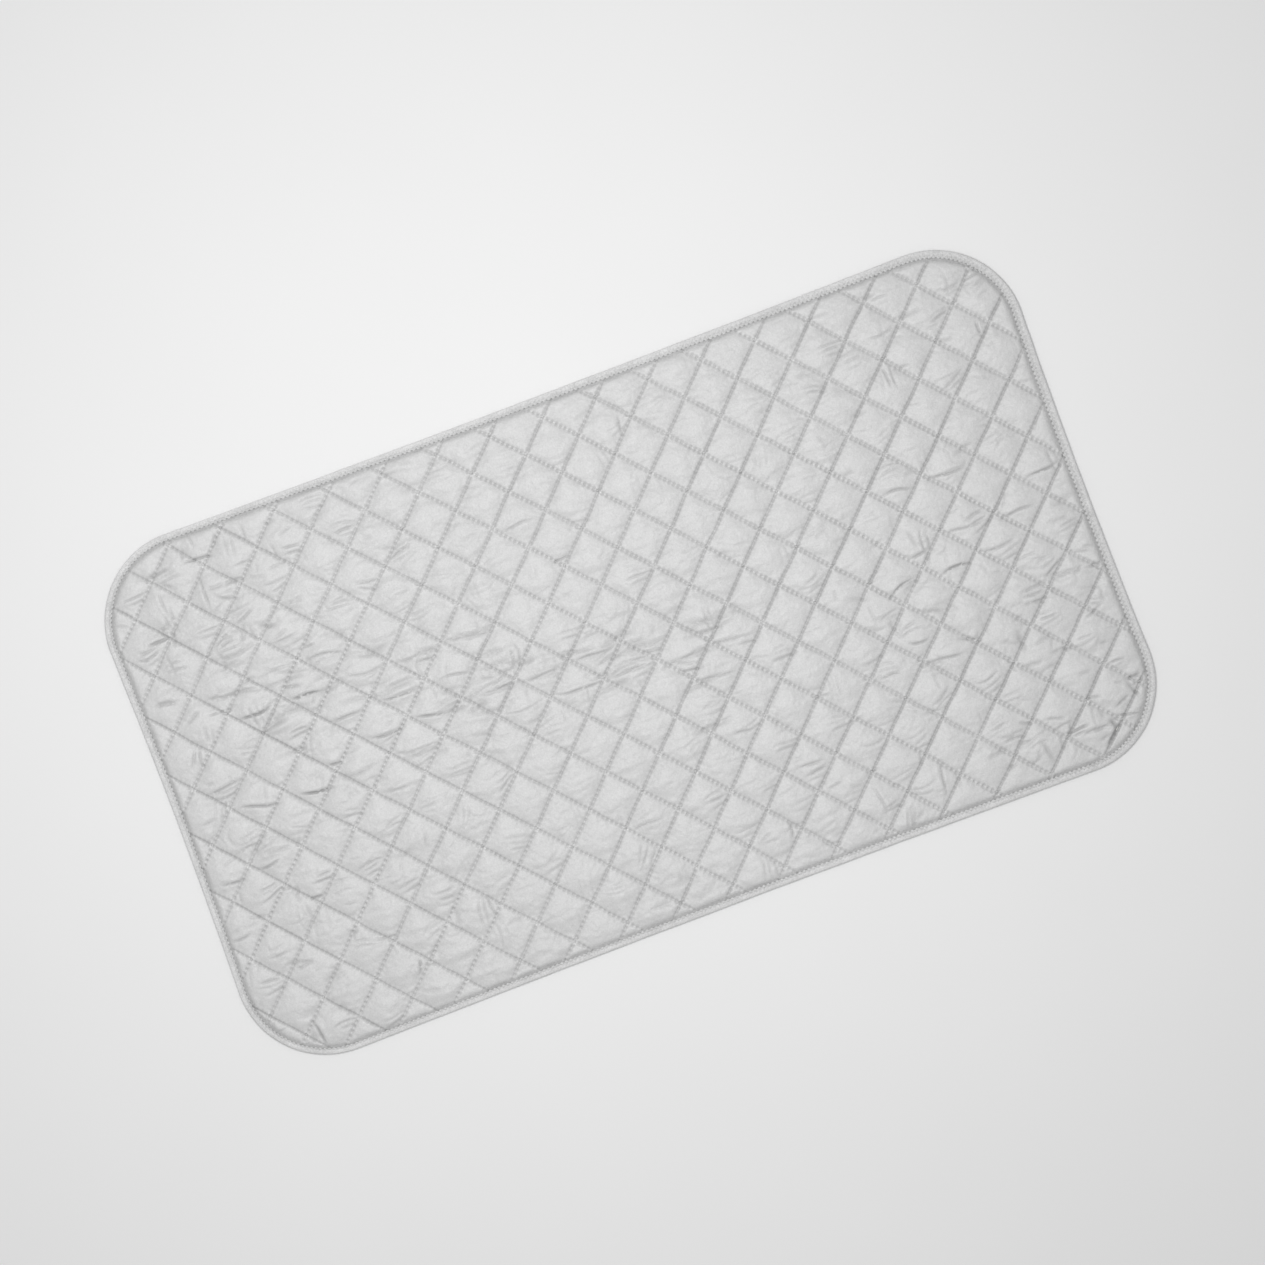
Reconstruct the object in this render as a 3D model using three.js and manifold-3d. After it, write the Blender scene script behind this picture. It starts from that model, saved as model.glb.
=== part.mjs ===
// A quilted ironing pad: coated face cloth, wadding and backing cloth, quilted in diamonds by
// rows of zigzag thread, with a folded binding sewn round its edge and a flat magnet near each corner.
// Millimetres. +X runs along the pad, +Y across it to its back edge, +Z up. The origin is at the
// middle of the pad, on the surface that it lies on.
import * as THREE from "three";
import Module from "manifold-3d";

// Outline
const padLength = 850;
const padWidth = 480;
const cornerRadius = 80;
const endDrawIn = 2.2; // how far the middle of each short side is pulled in by the quilting
const sideDrawIn = 2; // and of each long side
const cornerSteps = 8;
const endSteps = 6;
const sideSteps = 8;

// Quilting: diamonds from crossing to crossing, turned a little to the pad's edges
const diamondLength = 49.3;
const diamondWidth = 52;
const lengthwiseTurnDegrees = -1.4;
const crosswiseTurnDegrees = -1.8;
const firstCrossingX = -5.4;
const firstCrossingY = 12.2;
const puffRise = 3.8; // from a seam up to the top of the diamond beside it

// Layers, each as thick as the seams press it
const backingThickness = 0.3;
const waddingSeamThickness = 1;
const faceThickness = 0.4;
const plyGap = 0.2; // left between any two layers, and between a thread and its layer

// Binding: a tape folded over the edge, round on the outside and pressed thin under its seam
const tapeThickness = 0.5;
const bindingWidth = 8;
const bindingSeamSink = 0.5; // how far the seam presses each side of the binding in
const bindingBeadWidth = 3.6; // the round outer part that the seam leaves full
const bindingBeadSlope = 0.4;
const beadSteps = 6;
const puffMargin = 1.5; // flat cloth between the binding and the nearest whole diamond

// Threads
const quiltingThreadWidth = 0.8;
const quiltingThreadHeight = 0.5;
const quiltingTurnGap = 1; // how far short of the crossing each row of zigzag turns back
const bindingThreadThickness = 0.3;
const bindingSeamEdgeGap = 0.3; // between the binding's seam and the binding's inner edge

// Magnets
const magnetDiameter = 16;
const magnetThickness = 1.5;
const magnetSides = 24;
const magnetEdgeDistance = 52; // from both edges to the place where a corner's magnet is wanted
const magnetHoldMargin = 1; // backing held flat round a magnet
const magnetHoldSlope = 5; // run in which the backing rises from there to its seams

// Heights, from the surface that the pad lies on
const bindingLowerTop = bindingSeamSink + tapeThickness;
const backingBottom = bindingLowerTop + plyGap;
const backingTop = backingBottom + backingThickness;
const waddingBottom = backingTop + plyGap;
const waddingSeamTop = waddingBottom + waddingSeamThickness;
const faceSeamBottom = waddingSeamTop + plyGap;
const faceSeamTop = faceSeamBottom + faceThickness;
const bindingUpperBottom = faceSeamTop + plyGap;
const bindingUpperTop = bindingUpperBottom + tapeThickness;
const bindingHeight = bindingUpperTop + bindingSeamSink;
const magnetBottom = backingThickness + plyGap;
const magnetTop = magnetBottom + magnetThickness;

// Places in from the outer edge
const beadRadius = bindingHeight / 2;
const plyInset = beadRadius + plyGap;
const puffInset = bindingWidth + puffMargin;
const quiltingThreadInset = bindingWidth + plyGap + quiltingThreadWidth;
const bindingSeamOuterInset = bindingBeadWidth + bindingBeadSlope + plyGap;
const bindingSeamInnerInset = bindingWidth - bindingSeamEdgeGap;

const wasm = await Module();
wasm.setup();

// Colours and finishes

function clothMaterial(color, roughness, metalness) {
  return new THREE.MeshStandardMaterial({ color, roughness, metalness, flatShading: true });
}

function faceClothMaterial() {
  return clothMaterial(0xcfcfd0, 0.62, 0.12);
}

function waddingMaterial() {
  return clothMaterial(0xf2f1ec, 1, 0);
}

function backingClothMaterial() {
  return clothMaterial(0xc4c5c8, 0.9, 0);
}

function bindingMaterial() {
  return clothMaterial(0xd8d8d8, 0.85, 0);
}

function threadMaterial() {
  return clothMaterial(0xb9b9bb, 0.7, 0);
}

function magnetMaterial() {
  return new THREE.MeshStandardMaterial({ color: 0xa9abae, roughness: 0.3, metalness: 1 });
}

// Outline of the pad

// Where the quilting's pull leaves a point of the flat pattern: the straight stretch of each side bows in,
// and what lies between follows in proportion.
function drawnIn([x, y]) {
  const alongSide = x / (padLength / 2 - cornerRadius);
  const alongEnd = y / (padWidth / 2 - cornerRadius);
  const endPull = Math.max(1 - alongEnd * alongEnd, 0) * (x / (padLength / 2));
  const sidePull = Math.max(1 - alongSide * alongSide, 0) * (y / (padWidth / 2));
  return [x - endDrawIn * endPull, y - sideDrawIn * sidePull];
}

// The flat pattern's outline, this far in from the edge, counterclockwise from its lower right corner.
function patternOutline(inset) {
  const radius = cornerRadius - inset;
  const middleX = padLength / 2 - cornerRadius;
  const middleY = padWidth / 2 - cornerRadius;
  const corners = [
    { x: middleX, y: -middleY, start: -Math.PI / 2 },
    { x: middleX, y: middleY, start: 0 },
    { x: -middleX, y: middleY, start: Math.PI / 2 },
    { x: -middleX, y: -middleY, start: Math.PI },
  ];
  const points = [];
  corners.forEach((corner, index) => {
    for (let step = 0; step <= cornerSteps; step++) {
      const angle = corner.start + ((Math.PI / 2) * step) / cornerSteps;
      points.push([corner.x + radius * Math.cos(angle), corner.y + radius * Math.sin(angle)]);
    }
    const [fromX, fromY] = points.at(-1);
    const isShortSide = index % 2 === 0;
    const steps = isShortSide ? endSteps : sideSteps;
    for (let step = 1; step < steps; step++) {
      const share = 1 - (2 * step) / steps;
      points.push(isShortSide ? [fromX, fromY * share] : [fromX * share, fromY]);
    }
  });
  return points;
}

// True if the point is inside the convex outline.
function isInside([x, y], outline) {
  return outline.every(([ax, ay], index) => {
    const [bx, by] = outline[(index + 1) % outline.length];
    return (bx - ax) * (y - ay) - (by - ay) * (x - ax) >= 0;
  });
}

// Quilting

function turned(length, degrees) {
  const angle = THREE.MathUtils.degToRad(degrees);
  return [length * Math.cos(angle), length * Math.sin(angle)];
}

const halfLengthwise = turned(diamondLength / 2, lengthwiseTurnDegrees);
const halfCrosswise = turned(diamondWidth / 2, 90 + crosswiseTurnDegrees);
const columnsEachSide = Math.ceil(padLength / diamondLength) + 1;
const rowsEachSide = Math.ceil(padWidth / diamondWidth) + 1;

// A point of the lattice, in half diamonds. Seams cross where column + row is even; where it is odd,
// the point is the middle of a diamond.
function latticePoint(column, row) {
  return [
    firstCrossingX + column * halfLengthwise[0] + row * halfCrosswise[0],
    firstCrossingY + column * halfLengthwise[1] + row * halfCrosswise[1],
  ];
}

// The diamonds that lie wholly inside the outline, by the column and row of their middles.
function wholeDiamonds() {
  const outline = patternOutline(puffInset);
  const diamonds = [];
  for (let row = -rowsEachSide; row <= rowsEachSide; row++) {
    for (let column = -columnsEachSide; column <= columnsEachSide; column++) {
      if ((column + row) % 2 === 0) continue;
      const tips = diamondTips(column, row);
      if (tips.every(([tipColumn, tipRow]) => isInside(latticePoint(tipColumn, tipRow), outline))) {
        diamonds.push({ column, row });
      }
    }
  }
  return diamonds;
}

// A diamond's four tips, counterclockwise.
function diamondTips(column, row) {
  return [
    [column - 1, row],
    [column, row - 1],
    [column + 1, row],
    [column, row + 1],
  ];
}

// The outer line of a group of diamonds, as lattice keys: the sides that no two of them share.
function groupOutline(diamonds) {
  const nextOf = new Map();
  for (const { column, row } of diamonds) {
    const tips = diamondTips(column, row).map((tip) => tip.join());
    tips.forEach((from, index) => nextOf.set(from + ">" + tips[(index + 1) % tips.length], from));
  }
  const follow = new Map();
  for (const [side, from] of nextOf) {
    const to = side.split(">")[1];
    if (!nextOf.has(to + ">" + from)) follow.set(from, to);
  }
  const start = follow.keys().next().value;
  const line = [start];
  for (let key = follow.get(start); key !== start; key = follow.get(key)) line.push(key);
  return line;
}

// Surfaces and sheets. A surface is a list of points, its triangles facing up, and how many of its
// first points are the rim.

// The triangles between loops of points, given as indices into the points: the outer loop
// counterclockwise, and a hole clockwise. Every point of the loops is a corner of some triangle.
function trianglesBetween(points, loops) {
  const corners = loops.flat();
  const triangles = wasm.triangulate(loops.map((loop) => loop.map((index) => points[index])));
  return triangles.map((triangle) => Array.from(triangle, (place) => corners[place]));
}

// A plain surface, flat at this height.
function flatSurface(z) {
  const rim = patternOutline(plyInset).map(drawnIn);
  const faces = trianglesBetween(rim, [[...rim.keys()]]);
  return { points: rim.map((point) => [...point, z]), faces, rimCount: rim.length };
}

// A quilted surface: seams at this height, a puff in each whole diamond, and flat cloth round them.
function quiltedSurface(seamZ) {
  const rim = patternOutline(plyInset).map(drawnIn);
  const diamonds = wholeDiamonds();
  const border = groupOutline(diamonds);
  const flat = [...rim];
  const heights = rim.map(() => seamZ);
  const indexOf = new Map();

  function pointIndex(column, row) {
    const key = column + "," + row;
    if (!indexOf.has(key)) {
      indexOf.set(key, flat.length);
      flat.push(drawnIn(latticePoint(column, row)));
      heights.push((column + row) % 2 === 0 ? seamZ : seamZ + puffRise);
    }
    return indexOf.get(key);
  }

  const hole = border.map((key) => pointIndex(...key.split(",").map(Number))).reverse();
  const faces = trianglesBetween(flat, [[...rim.keys()], hole]);
  for (const { column, row } of diamonds) {
    const top = pointIndex(column, row);
    const tips = diamondTips(column, row).map((tip) => pointIndex(...tip));
    tips.forEach((tip, index) => faces.push([tip, tips[(index + 1) % tips.length], top]));
  }
  return { points: flat.map((point, index) => [...point, heights[index]]), faces, rimCount: rim.length };
}

function geometryOf(points, faces) {
  const geometry = new THREE.BufferGeometry();
  geometry.setAttribute("position", new THREE.Float32BufferAttribute(points.flat(), 3));
  geometry.setIndex(faces.flat());
  geometry.computeVertexNormals();
  return geometry;
}

// A closed sheet between a lower and an upper surface with like rims.
function sheetGeometry(lower, upper) {
  const points = [...lower.points, ...upper.points];
  const shift = lower.points.length;
  const faces = lower.faces.map(([a, b, c]) => [a, c, b]);
  upper.faces.forEach((face) => faces.push(face.map((index) => index + shift)));
  for (let index = 0; index < lower.rimCount; index++) {
    const next = (index + 1) % lower.rimCount;
    faces.push([index, next, next + shift], [index, next + shift, index + shift]);
  }
  return geometryOf(points, faces);
}

// A ring round the pad. The section's points are [distance in from the edge, height], clockwise
// when the outer edge is on the left.
function edgeRingGeometry(section) {
  const outlines = section.map(([inset, z]) => patternOutline(inset).map((point) => [...drawnIn(point), z]));
  const pathCount = outlines[0].length;
  const points = outlines.flat();
  const faces = [];
  section.forEach((_, corner) => {
    const nextCorner = (corner + 1) % section.length;
    for (let step = 0; step < pathCount; step++) {
      const nextStep = (step + 1) % pathCount;
      const a = corner * pathCount + step;
      const b = corner * pathCount + nextStep;
      const c = nextCorner * pathCount + nextStep;
      const d = nextCorner * pathCount + step;
      faces.push([a, b, c], [a, c, d]);
    }
  });
  return geometryOf(points, faces);
}

// Pieces of the pad

function faceCloth() {
  const geometry = sheetGeometry(quiltedSurface(faceSeamBottom), quiltedSurface(faceSeamTop));
  return namedMesh("face_cloth", geometry, faceClothMaterial());
}

// The backing cloth lies at the height of its seams, and dips to what the pad lies on under each magnet.
function backingCloth() {
  let body = solidOf(sheetGeometry(flatSurface(backingBottom), flatSurface(backingTop)));
  for (const place of magnetPlaces()) {
    body = body.add(holdSolid(place, 0)).subtract(holdSolid(place, backingThickness));
  }
  return namedMesh("backing_cloth", geometryOfSolid(body), backingClothMaterial());
}

// A blunt cone under a magnet's place, standing on its narrow end at this height.
function holdSolid({ x, y }, z) {
  const holdRadius = magnetDiameter / 2 + magnetHoldMargin;
  const cone = new THREE.CylinderGeometry(holdRadius + magnetHoldSlope, holdRadius, backingTop, magnetSides);
  cone.rotateX(Math.PI / 2).translate(x, y, z + backingTop / 2);
  return solidOf(cone);
}

// The wadding has a pocket in its underside for each magnet.
function wadding() {
  let body = solidOf(sheetGeometry(flatSurface(waddingBottom), quiltedSurface(waddingSeamTop)));
  const pocketTop = magnetTop + plyGap;
  for (const { x, y } of magnetPlaces()) {
    const cutter = discGeometry(magnetDiameter / 2 + plyGap, pocketTop);
    cutter.translate(x, y, pocketTop / 2);
    body = body.subtract(solidOf(cutter));
  }
  return namedMesh("wadding", geometryOfSolid(body), waddingMaterial());
}

function edgeBinding() {
  const seamStart = bindingBeadWidth + bindingBeadSlope;
  const section = [
    [bindingWidth, bindingSeamSink],
    [seamStart, bindingSeamSink],
    [bindingBeadWidth, 0],
  ];
  for (let step = 0; step <= beadSteps; step++) {
    const angle = (Math.PI * step) / beadSteps;
    section.push([beadRadius - beadRadius * Math.sin(angle), beadRadius - beadRadius * Math.cos(angle)]);
  }
  section.push(
    [bindingBeadWidth, bindingHeight],
    [seamStart, bindingUpperTop],
    [bindingWidth, bindingUpperTop],
    [bindingWidth, bindingUpperBottom],
    [beadRadius, bindingUpperBottom],
    [beadRadius, bindingLowerTop],
    [bindingWidth, bindingLowerTop],
  );
  return namedMesh("edge_binding", edgeRingGeometry(section), bindingMaterial());
}

// The band of zigzag thread that the binding's seam lays on the tape, between these two heights.
function bindingThread(name, bottom, top) {
  const section = [
    [bindingSeamInnerInset, bottom],
    [bindingSeamOuterInset, bottom],
    [bindingSeamOuterInset, top],
    [bindingSeamInnerInset, top],
  ];
  return namedMesh(name, edgeRingGeometry(section), threadMaterial());
}

function bindingNeedleThread() {
  const bottom = bindingUpperTop + plyGap;
  return bindingThread("binding_needle_thread", bottom, bottom + bindingThreadThickness);
}

function bindingBobbinThread() {
  const top = bindingSeamSink - plyGap;
  return bindingThread("binding_bobbin_thread", top - bindingThreadThickness, top);
}

// Quilting threads

// One row's zigzag: it runs the length of the pad between two lines of crossings, and turns back just
// short of each crossing.
function zigzagRow(row) {
  const turn = (2 * quiltingTurnGap) / diamondWidth;
  const points = [];
  for (let column = -columnsEachSide; column <= columnsEachSide; column++) {
    const isLowTurn = (column + row) % 2 === 0;
    points.push(latticePoint(column, isLowTurn ? row + turn : row + 1 - turn));
  }
  return points;
}

// Where the line from an inside point to an outside point leaves the outline, by halving.
function leavingPoint(inside, outside, outline) {
  const halvings = 20;
  let near = inside;
  let far = outside;
  for (let count = 0; count < halvings; count++) {
    const middle = [(near[0] + far[0]) / 2, (near[1] + far[1]) / 2];
    if (isInside(middle, outline)) near = middle;
    else far = middle;
  }
  return near;
}

// The longest unbroken stretch of a row that lies inside the binding. Shorter ends that the edge cuts
// off a row hold no seam of their own.
function longestStretch(points, outline) {
  const stretches = [];
  let current = [];
  points.forEach((point, index) => {
    const previous = points[index - 1];
    const isIn = isInside(point, outline);
    const wasIn = current.length > 0;
    if (isIn && !wasIn && previous) current.push(leavingPoint(point, previous, outline));
    if (isIn) current.push(point);
    if (!isIn && wasIn) {
      current.push(leavingPoint(previous, point, outline));
      stretches.push(current);
      current = [];
    }
  });
  stretches.sort((a, b) => b.length - a.length);
  return stretches[0] ?? [];
}

// A thread along the points: three-sided, its flat side at this height, its ridge on the other side.
function threadGeometry(path, flatZ, ridgeZ) {
  const points = [];
  const runs = path.slice(1).map((point, index) => direction(path[index], point));
  path.forEach(([x, y], index) => {
    const before = runs[Math.max(index - 1, 0)];
    const after = runs[Math.min(index, runs.length - 1)];
    const side = new THREE.Vector2(-before.y - after.y, before.x + after.x).normalize();
    const mitre = quiltingThreadWidth / 2 / side.dot(new THREE.Vector2(-before.y, before.x));
    points.push([x + side.x * mitre, y + side.y * mitre, flatZ]);
    points.push([x - side.x * mitre, y - side.y * mitre, flatZ]);
    points.push([x, y, ridgeZ]);
  });
  const faces = [];
  const sides = 3;
  for (let step = 0; step < runs.length; step++) {
    for (let corner = 0; corner < sides; corner++) {
      const nextCorner = (corner + 1) % sides;
      const a = step * sides + corner;
      const b = step * sides + nextCorner;
      faces.push([a, a + sides, b + sides], [a, b + sides, b]);
    }
  }
  const last = points.length - sides;
  faces.push([0, 1, 2], [last, last + 2, last + 1]);
  const isRidgeUp = ridgeZ > flatZ;
  return geometryOf(points, isRidgeUp ? faces : faces.map(([a, b, c]) => [a, c, b]));
}

function direction([ax, ay], [bx, by]) {
  return new THREE.Vector2(bx - ax, by - ay).normalize();
}

// The needle threads on the face and the bobbin threads below the backing, a pair for each row.
function quiltingThreads() {
  const outline = patternOutline(quiltingThreadInset);
  // At its turns a thread lies beside the seam, so it clears the puff's slope there.
  const slope = puffRise / (diamondWidth / 2);
  const needleBottom = faceSeamTop + plyGap + slope * (quiltingTurnGap + quiltingThreadWidth);
  const bobbinTop = backingBottom - plyGap;
  const threads = [];
  for (let row = -rowsEachSide; row < rowsEachSide; row++) {
    const path = longestStretch(zigzagRow(row), outline).map(drawnIn);
    const leastTurns = 2;
    if (path.length < leastTurns + 2) continue;
    const number = String(threads.length / 2 + 1).padStart(2, "0");
    const needle = threadGeometry(path, needleBottom, needleBottom + quiltingThreadHeight);
    const bobbin = threadGeometry(path, bobbinTop, bobbinTop - quiltingThreadHeight);
    threads.push(namedMesh("quilting_needle_thread_" + number, needle, threadMaterial()));
    threads.push(namedMesh("quilting_bobbin_thread_" + number, bobbin, threadMaterial()));
  }
  return threads;
}

// Magnets

// No seam can cross a magnet, so each lies in the middle of the whole diamond nearest its corner.
function magnetPlaces() {
  const reachX = padLength / 2 - magnetEdgeDistance;
  const reachY = padWidth / 2 - magnetEdgeDistance;
  const corners = [
    { name: "magnet_front_left", x: -reachX, y: -reachY },
    { name: "magnet_front_right", x: reachX, y: -reachY },
    { name: "magnet_back_left", x: -reachX, y: reachY },
    { name: "magnet_back_right", x: reachX, y: reachY },
  ];
  const middles = wholeDiamonds().map(({ column, row }) => drawnIn(latticePoint(column, row)));
  return corners.map((corner) => {
    const distance = ([x, y]) => Math.hypot(x - corner.x, y - corner.y);
    const [x, y] = middles.reduce((best, middle) => (distance(middle) < distance(best) ? middle : best));
    return { name: corner.name, x, y };
  });
}

function magnets() {
  return magnetPlaces().map(({ name, x, y }) => {
    const mesh = namedMesh(name, discGeometry(magnetDiameter / 2, magnetThickness), magnetMaterial());
    mesh.position.set(x, y, magnetBottom + magnetThickness / 2);
    return mesh;
  });
}

// Helpers for solids

// An upright disc centred on the origin.
function discGeometry(radius, height) {
  return new THREE.CylinderGeometry(radius, radius, height, magnetSides).rotateX(Math.PI / 2);
}

function solidOf(geometry) {
  const merged = new Map();
  const vertices = [];
  const position = geometry.getAttribute("position");
  const indexAt = (index) => {
    const point = [position.getX(index), position.getY(index), position.getZ(index)];
    const key = point.map((value) => value.toFixed(4)).join();
    if (!merged.has(key)) {
      merged.set(key, vertices.length / 3);
      vertices.push(...point);
    }
    return merged.get(key);
  };
  const triangles = Array.from(geometry.index.array, indexAt);
  const mesh = new wasm.Mesh({
    numProp: 3,
    vertProperties: new Float32Array(vertices),
    triVerts: new Uint32Array(triangles),
  });
  return new wasm.Manifold(mesh);
}

function geometryOfSolid(solid) {
  const mesh = solid.getMesh();
  const geometry = new THREE.BufferGeometry();
  geometry.setAttribute("position", new THREE.BufferAttribute(mesh.vertProperties, mesh.numProp));
  geometry.setIndex(new THREE.BufferAttribute(mesh.triVerts, 1));
  geometry.computeVertexNormals();
  return geometry;
}

function namedMesh(name, geometry, material) {
  const mesh = new THREE.Mesh(geometry, material);
  mesh.name = name;
  return mesh;
}

const pad = new THREE.Group();
pad.add(
  backingCloth(),
  wadding(),
  faceCloth(),
  edgeBinding(),
  bindingNeedleThread(),
  bindingBobbinThread(),
  ...quiltingThreads(),
  ...magnets(),
);

export default pad;
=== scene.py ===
"""Looks for a quilted ironing pad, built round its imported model. Metres, +X along the pad, +Z up."""

import math

import bpy
import numpy as np
from bpy.props import FloatProperty, FloatVectorProperty, IntProperty, PointerProperty
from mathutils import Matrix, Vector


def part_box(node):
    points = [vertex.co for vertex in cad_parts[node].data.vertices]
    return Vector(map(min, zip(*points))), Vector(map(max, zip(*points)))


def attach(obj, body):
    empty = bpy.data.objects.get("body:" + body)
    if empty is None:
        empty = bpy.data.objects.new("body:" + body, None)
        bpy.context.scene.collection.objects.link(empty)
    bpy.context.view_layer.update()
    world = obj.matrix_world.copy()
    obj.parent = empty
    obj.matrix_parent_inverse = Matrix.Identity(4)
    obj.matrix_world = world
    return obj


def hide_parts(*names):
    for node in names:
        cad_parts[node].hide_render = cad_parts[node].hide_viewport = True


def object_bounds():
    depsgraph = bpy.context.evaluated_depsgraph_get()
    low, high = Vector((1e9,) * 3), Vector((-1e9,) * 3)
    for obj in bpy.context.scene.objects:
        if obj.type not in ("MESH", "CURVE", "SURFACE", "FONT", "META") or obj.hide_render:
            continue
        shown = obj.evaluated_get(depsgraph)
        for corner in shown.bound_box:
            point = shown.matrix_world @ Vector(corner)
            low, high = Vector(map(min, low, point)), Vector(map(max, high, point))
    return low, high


bl_info = {
    "name": "Quilted Ironing Pad",
    "version": (1, 0, 0),
    "blender": (4, 5, 0),
    "location": "View3D > Sidebar > Ironing Pad",
    "description": "Cloths, wadding, stitches and binding of a diamond-quilted ironing pad",
    "category": "Add Mesh",
}

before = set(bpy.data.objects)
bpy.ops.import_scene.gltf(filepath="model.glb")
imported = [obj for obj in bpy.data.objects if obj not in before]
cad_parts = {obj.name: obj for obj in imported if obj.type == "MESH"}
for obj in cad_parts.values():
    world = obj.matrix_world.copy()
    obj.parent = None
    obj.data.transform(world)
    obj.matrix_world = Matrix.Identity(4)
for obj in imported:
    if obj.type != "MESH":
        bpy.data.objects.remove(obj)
CAD_BOX = [list(corner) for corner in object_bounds()]

MM = 0.001
PAD_LENGTH = CAD_BOX[1][0] - CAD_BOX[0][0]
PAD_WIDTH = CAD_BOX[1][1] - CAD_BOX[0][1]
BINDING_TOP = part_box("edge_binding")[1][2]
MAGNETS = [name for name in sorted(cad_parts) if name.startswith("magnet_")]


def length(name, description, default):
    """A size property in metres."""
    return FloatProperty(name=name, description=description, default=default, unit="LENGTH", precision=4)


def colour(name, description, default):
    """A colour property, as linear red, green and blue."""
    return FloatVectorProperty(
        name=name, description=description, default=default, subtype="COLOR", size=3, min=0, max=1
    )


class IroningPadSizes(bpy.types.PropertyGroup):
    """Sizes of the pad's outline, layers and stitches."""

    corner_radius: length("Corner radius", "Radius of the pad's four corners", 0.080)
    end_draw_in: length("End draw-in", "How far the middle of each short side is pulled in", 0.0022)
    side_draw_in: length("Side draw-in", "How far the middle of each long side is pulled in", 0.0020)
    binding_width: length("Binding width", "Width of the tape that shows on the face", 0.008)
    diamond_length: length("Diamond length", "From crossing to crossing along the pad", 0.0493)
    diamond_width: length("Diamond width", "From crossing to crossing across the pad", 0.052)
    lengthwise_turn: FloatProperty(
        name="Lengthwise turn", description="Turn of the diamonds' long diagonal to the pad",
        default=math.radians(-1.4), subtype="ANGLE", unit="ROTATION",
    )
    crosswise_turn: FloatProperty(
        name="Crosswise turn", description="Turn of the diamonds' other diagonal to the pad's width",
        default=math.radians(-1.8), subtype="ANGLE", unit="ROTATION",
    )
    first_crossing_x: length("First crossing X", "Place of one crossing of the seams", -0.0054)
    first_crossing_y: length("First crossing Y", "Place of one crossing of the seams", 0.0122)
    puff_rise: length("Puff rise", "How far the wadding pushes the cloth up between the seams", 0.0030)
    seam_depth: length("Seam depth", "How far the stitches pull the cloth in beside the seams", 0.0010)
    seam_reach: length("Seam reach", "How wide the stitches pull the cloth in, to each side", 0.0010)
    turn_gap: length("Turn gap", "How far short of a crossing each row of stitches turns back", 0.0010)
    turn_stitch: length("Turn stitch", "Length of the stitch that a lower turn makes", 0.0030)
    stitches_per_side: IntProperty(
        name="Stitches per side", description="Stitches along one side of a diamond",
        default=8, min=4, max=12,
    )
    thread_radius: length("Thread radius", "Radius of the sewing thread", 0.00024)
    zigzag_pitch: length("Zigzag pitch", "Length of one zigzag of the binding's seam", 0.0042)


class IroningPadColours(bpy.types.PropertyGroup):
    """Colours of the pad's cloths, threads and magnets."""

    face: colour("Face cloth", "Silver-grey coated cotton", (0.648, 0.648, 0.648))
    backing: colour("Backing cloth", "Plain woven underside", (0.520, 0.525, 0.535))
    wadding: colour("Wadding", "Needled felt between the cloths", (0.86, 0.85, 0.81))
    tape: colour("Binding tape", "Woven tape round the edge", (0.675, 0.675, 0.675))
    thread: colour("Thread", "Sewing thread", (0.680, 0.680, 0.680))
    magnet: colour("Magnet", "Nickel plate of the corner magnets", (0.60, 0.61, 0.62))
    floor: colour("Floor", "What the pad lies on", (0.84, 0.84, 0.84))


# Outline and lattice


def sizes():
    """The pad's sizes, as set in the sidebar."""
    return bpy.context.scene.ironing_pad_sizes


def colours():
    """The pad's colours, as set in the sidebar."""
    return bpy.context.scene.ironing_pad_colours


def inset_of(points):
    """How far in from the edge of the flat pattern each point lies."""
    radius = sizes().corner_radius
    beyond = np.abs(points) - np.array([PAD_LENGTH / 2 - radius, PAD_WIDTH / 2 - radius])
    outside = np.linalg.norm(np.maximum(beyond, 0), axis=-1)
    return radius - outside - np.minimum(beyond.max(axis=-1), 0)


def way_in(points):
    """The direction in which each point's distance from the edge grows fastest."""
    step = 1e-5
    growth = []
    for shift in (np.array([step, 0]), np.array([0, step])):
        growth.append(inset_of(points + shift) - inset_of(points - shift))
    direction = np.stack(growth, -1)
    return direction / np.maximum(np.linalg.norm(direction, axis=-1, keepdims=True), 1e-12)


def drawn_in(points):
    """Where the quilting's pull leaves points of the flat pattern: each side bows in."""
    s = sizes()
    half = np.array([PAD_LENGTH / 2, PAD_WIDTH / 2])
    pull = np.maximum(1 - (points / (half - s.corner_radius)) ** 2, 0)[..., ::-1]
    return points - np.array([s.end_draw_in, s.side_draw_in]) * pull * points / half


def tape_width_at(points):
    """How wide the tape is on the face: full width at the right, and 1 to 2 mm less on the other sides."""
    along = points[..., 0] / (PAD_LENGTH / 2)
    across = points[..., 1] / (PAD_WIDTH / 2)
    return sizes().binding_width + MM * (0.8 * along + 0.35 * across - 0.9 * across**2 - 0.7)


WANDER_LENGTH = 1.0  # the longest wave of the seams' wander along the pad
WANDER_SIDE = 0.24  # how far to each side of the pad's middle the wander was measured
WOBBLE = 0.55 * MM
WOBBLE_SIZE = 0.017


def wander(points):
    """The slight wander of the seams from a true lattice, a millimetre or so, in long waves. Its numbers
    are millimetres."""
    turn = 2 * math.pi * points[..., 0] / WANDER_LENGTH
    side = points[..., 1] / WANDER_SIDE
    along = 0.5 - 1.41 * side**2 + 0.61 * np.cos(2 * turn) - 0.49 * np.sin(2 * turn)
    along += side * (1.04 * np.sin(turn) - 0.81 * np.cos(turn)) - 0.4 * side**2 * np.sin(3 * turn)
    across = 0.17 * np.cos(turn) - 0.2 * np.sin(turn) + 0.57 * np.sin(2 * turn)
    across += side * (0.53 - 1.03 * np.cos(turn)) + side**2 * (0.76 * np.sin(turn) - 0.36 * np.cos(2 * turn))
    return points + MM * np.stack([along, across], -1)


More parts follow.
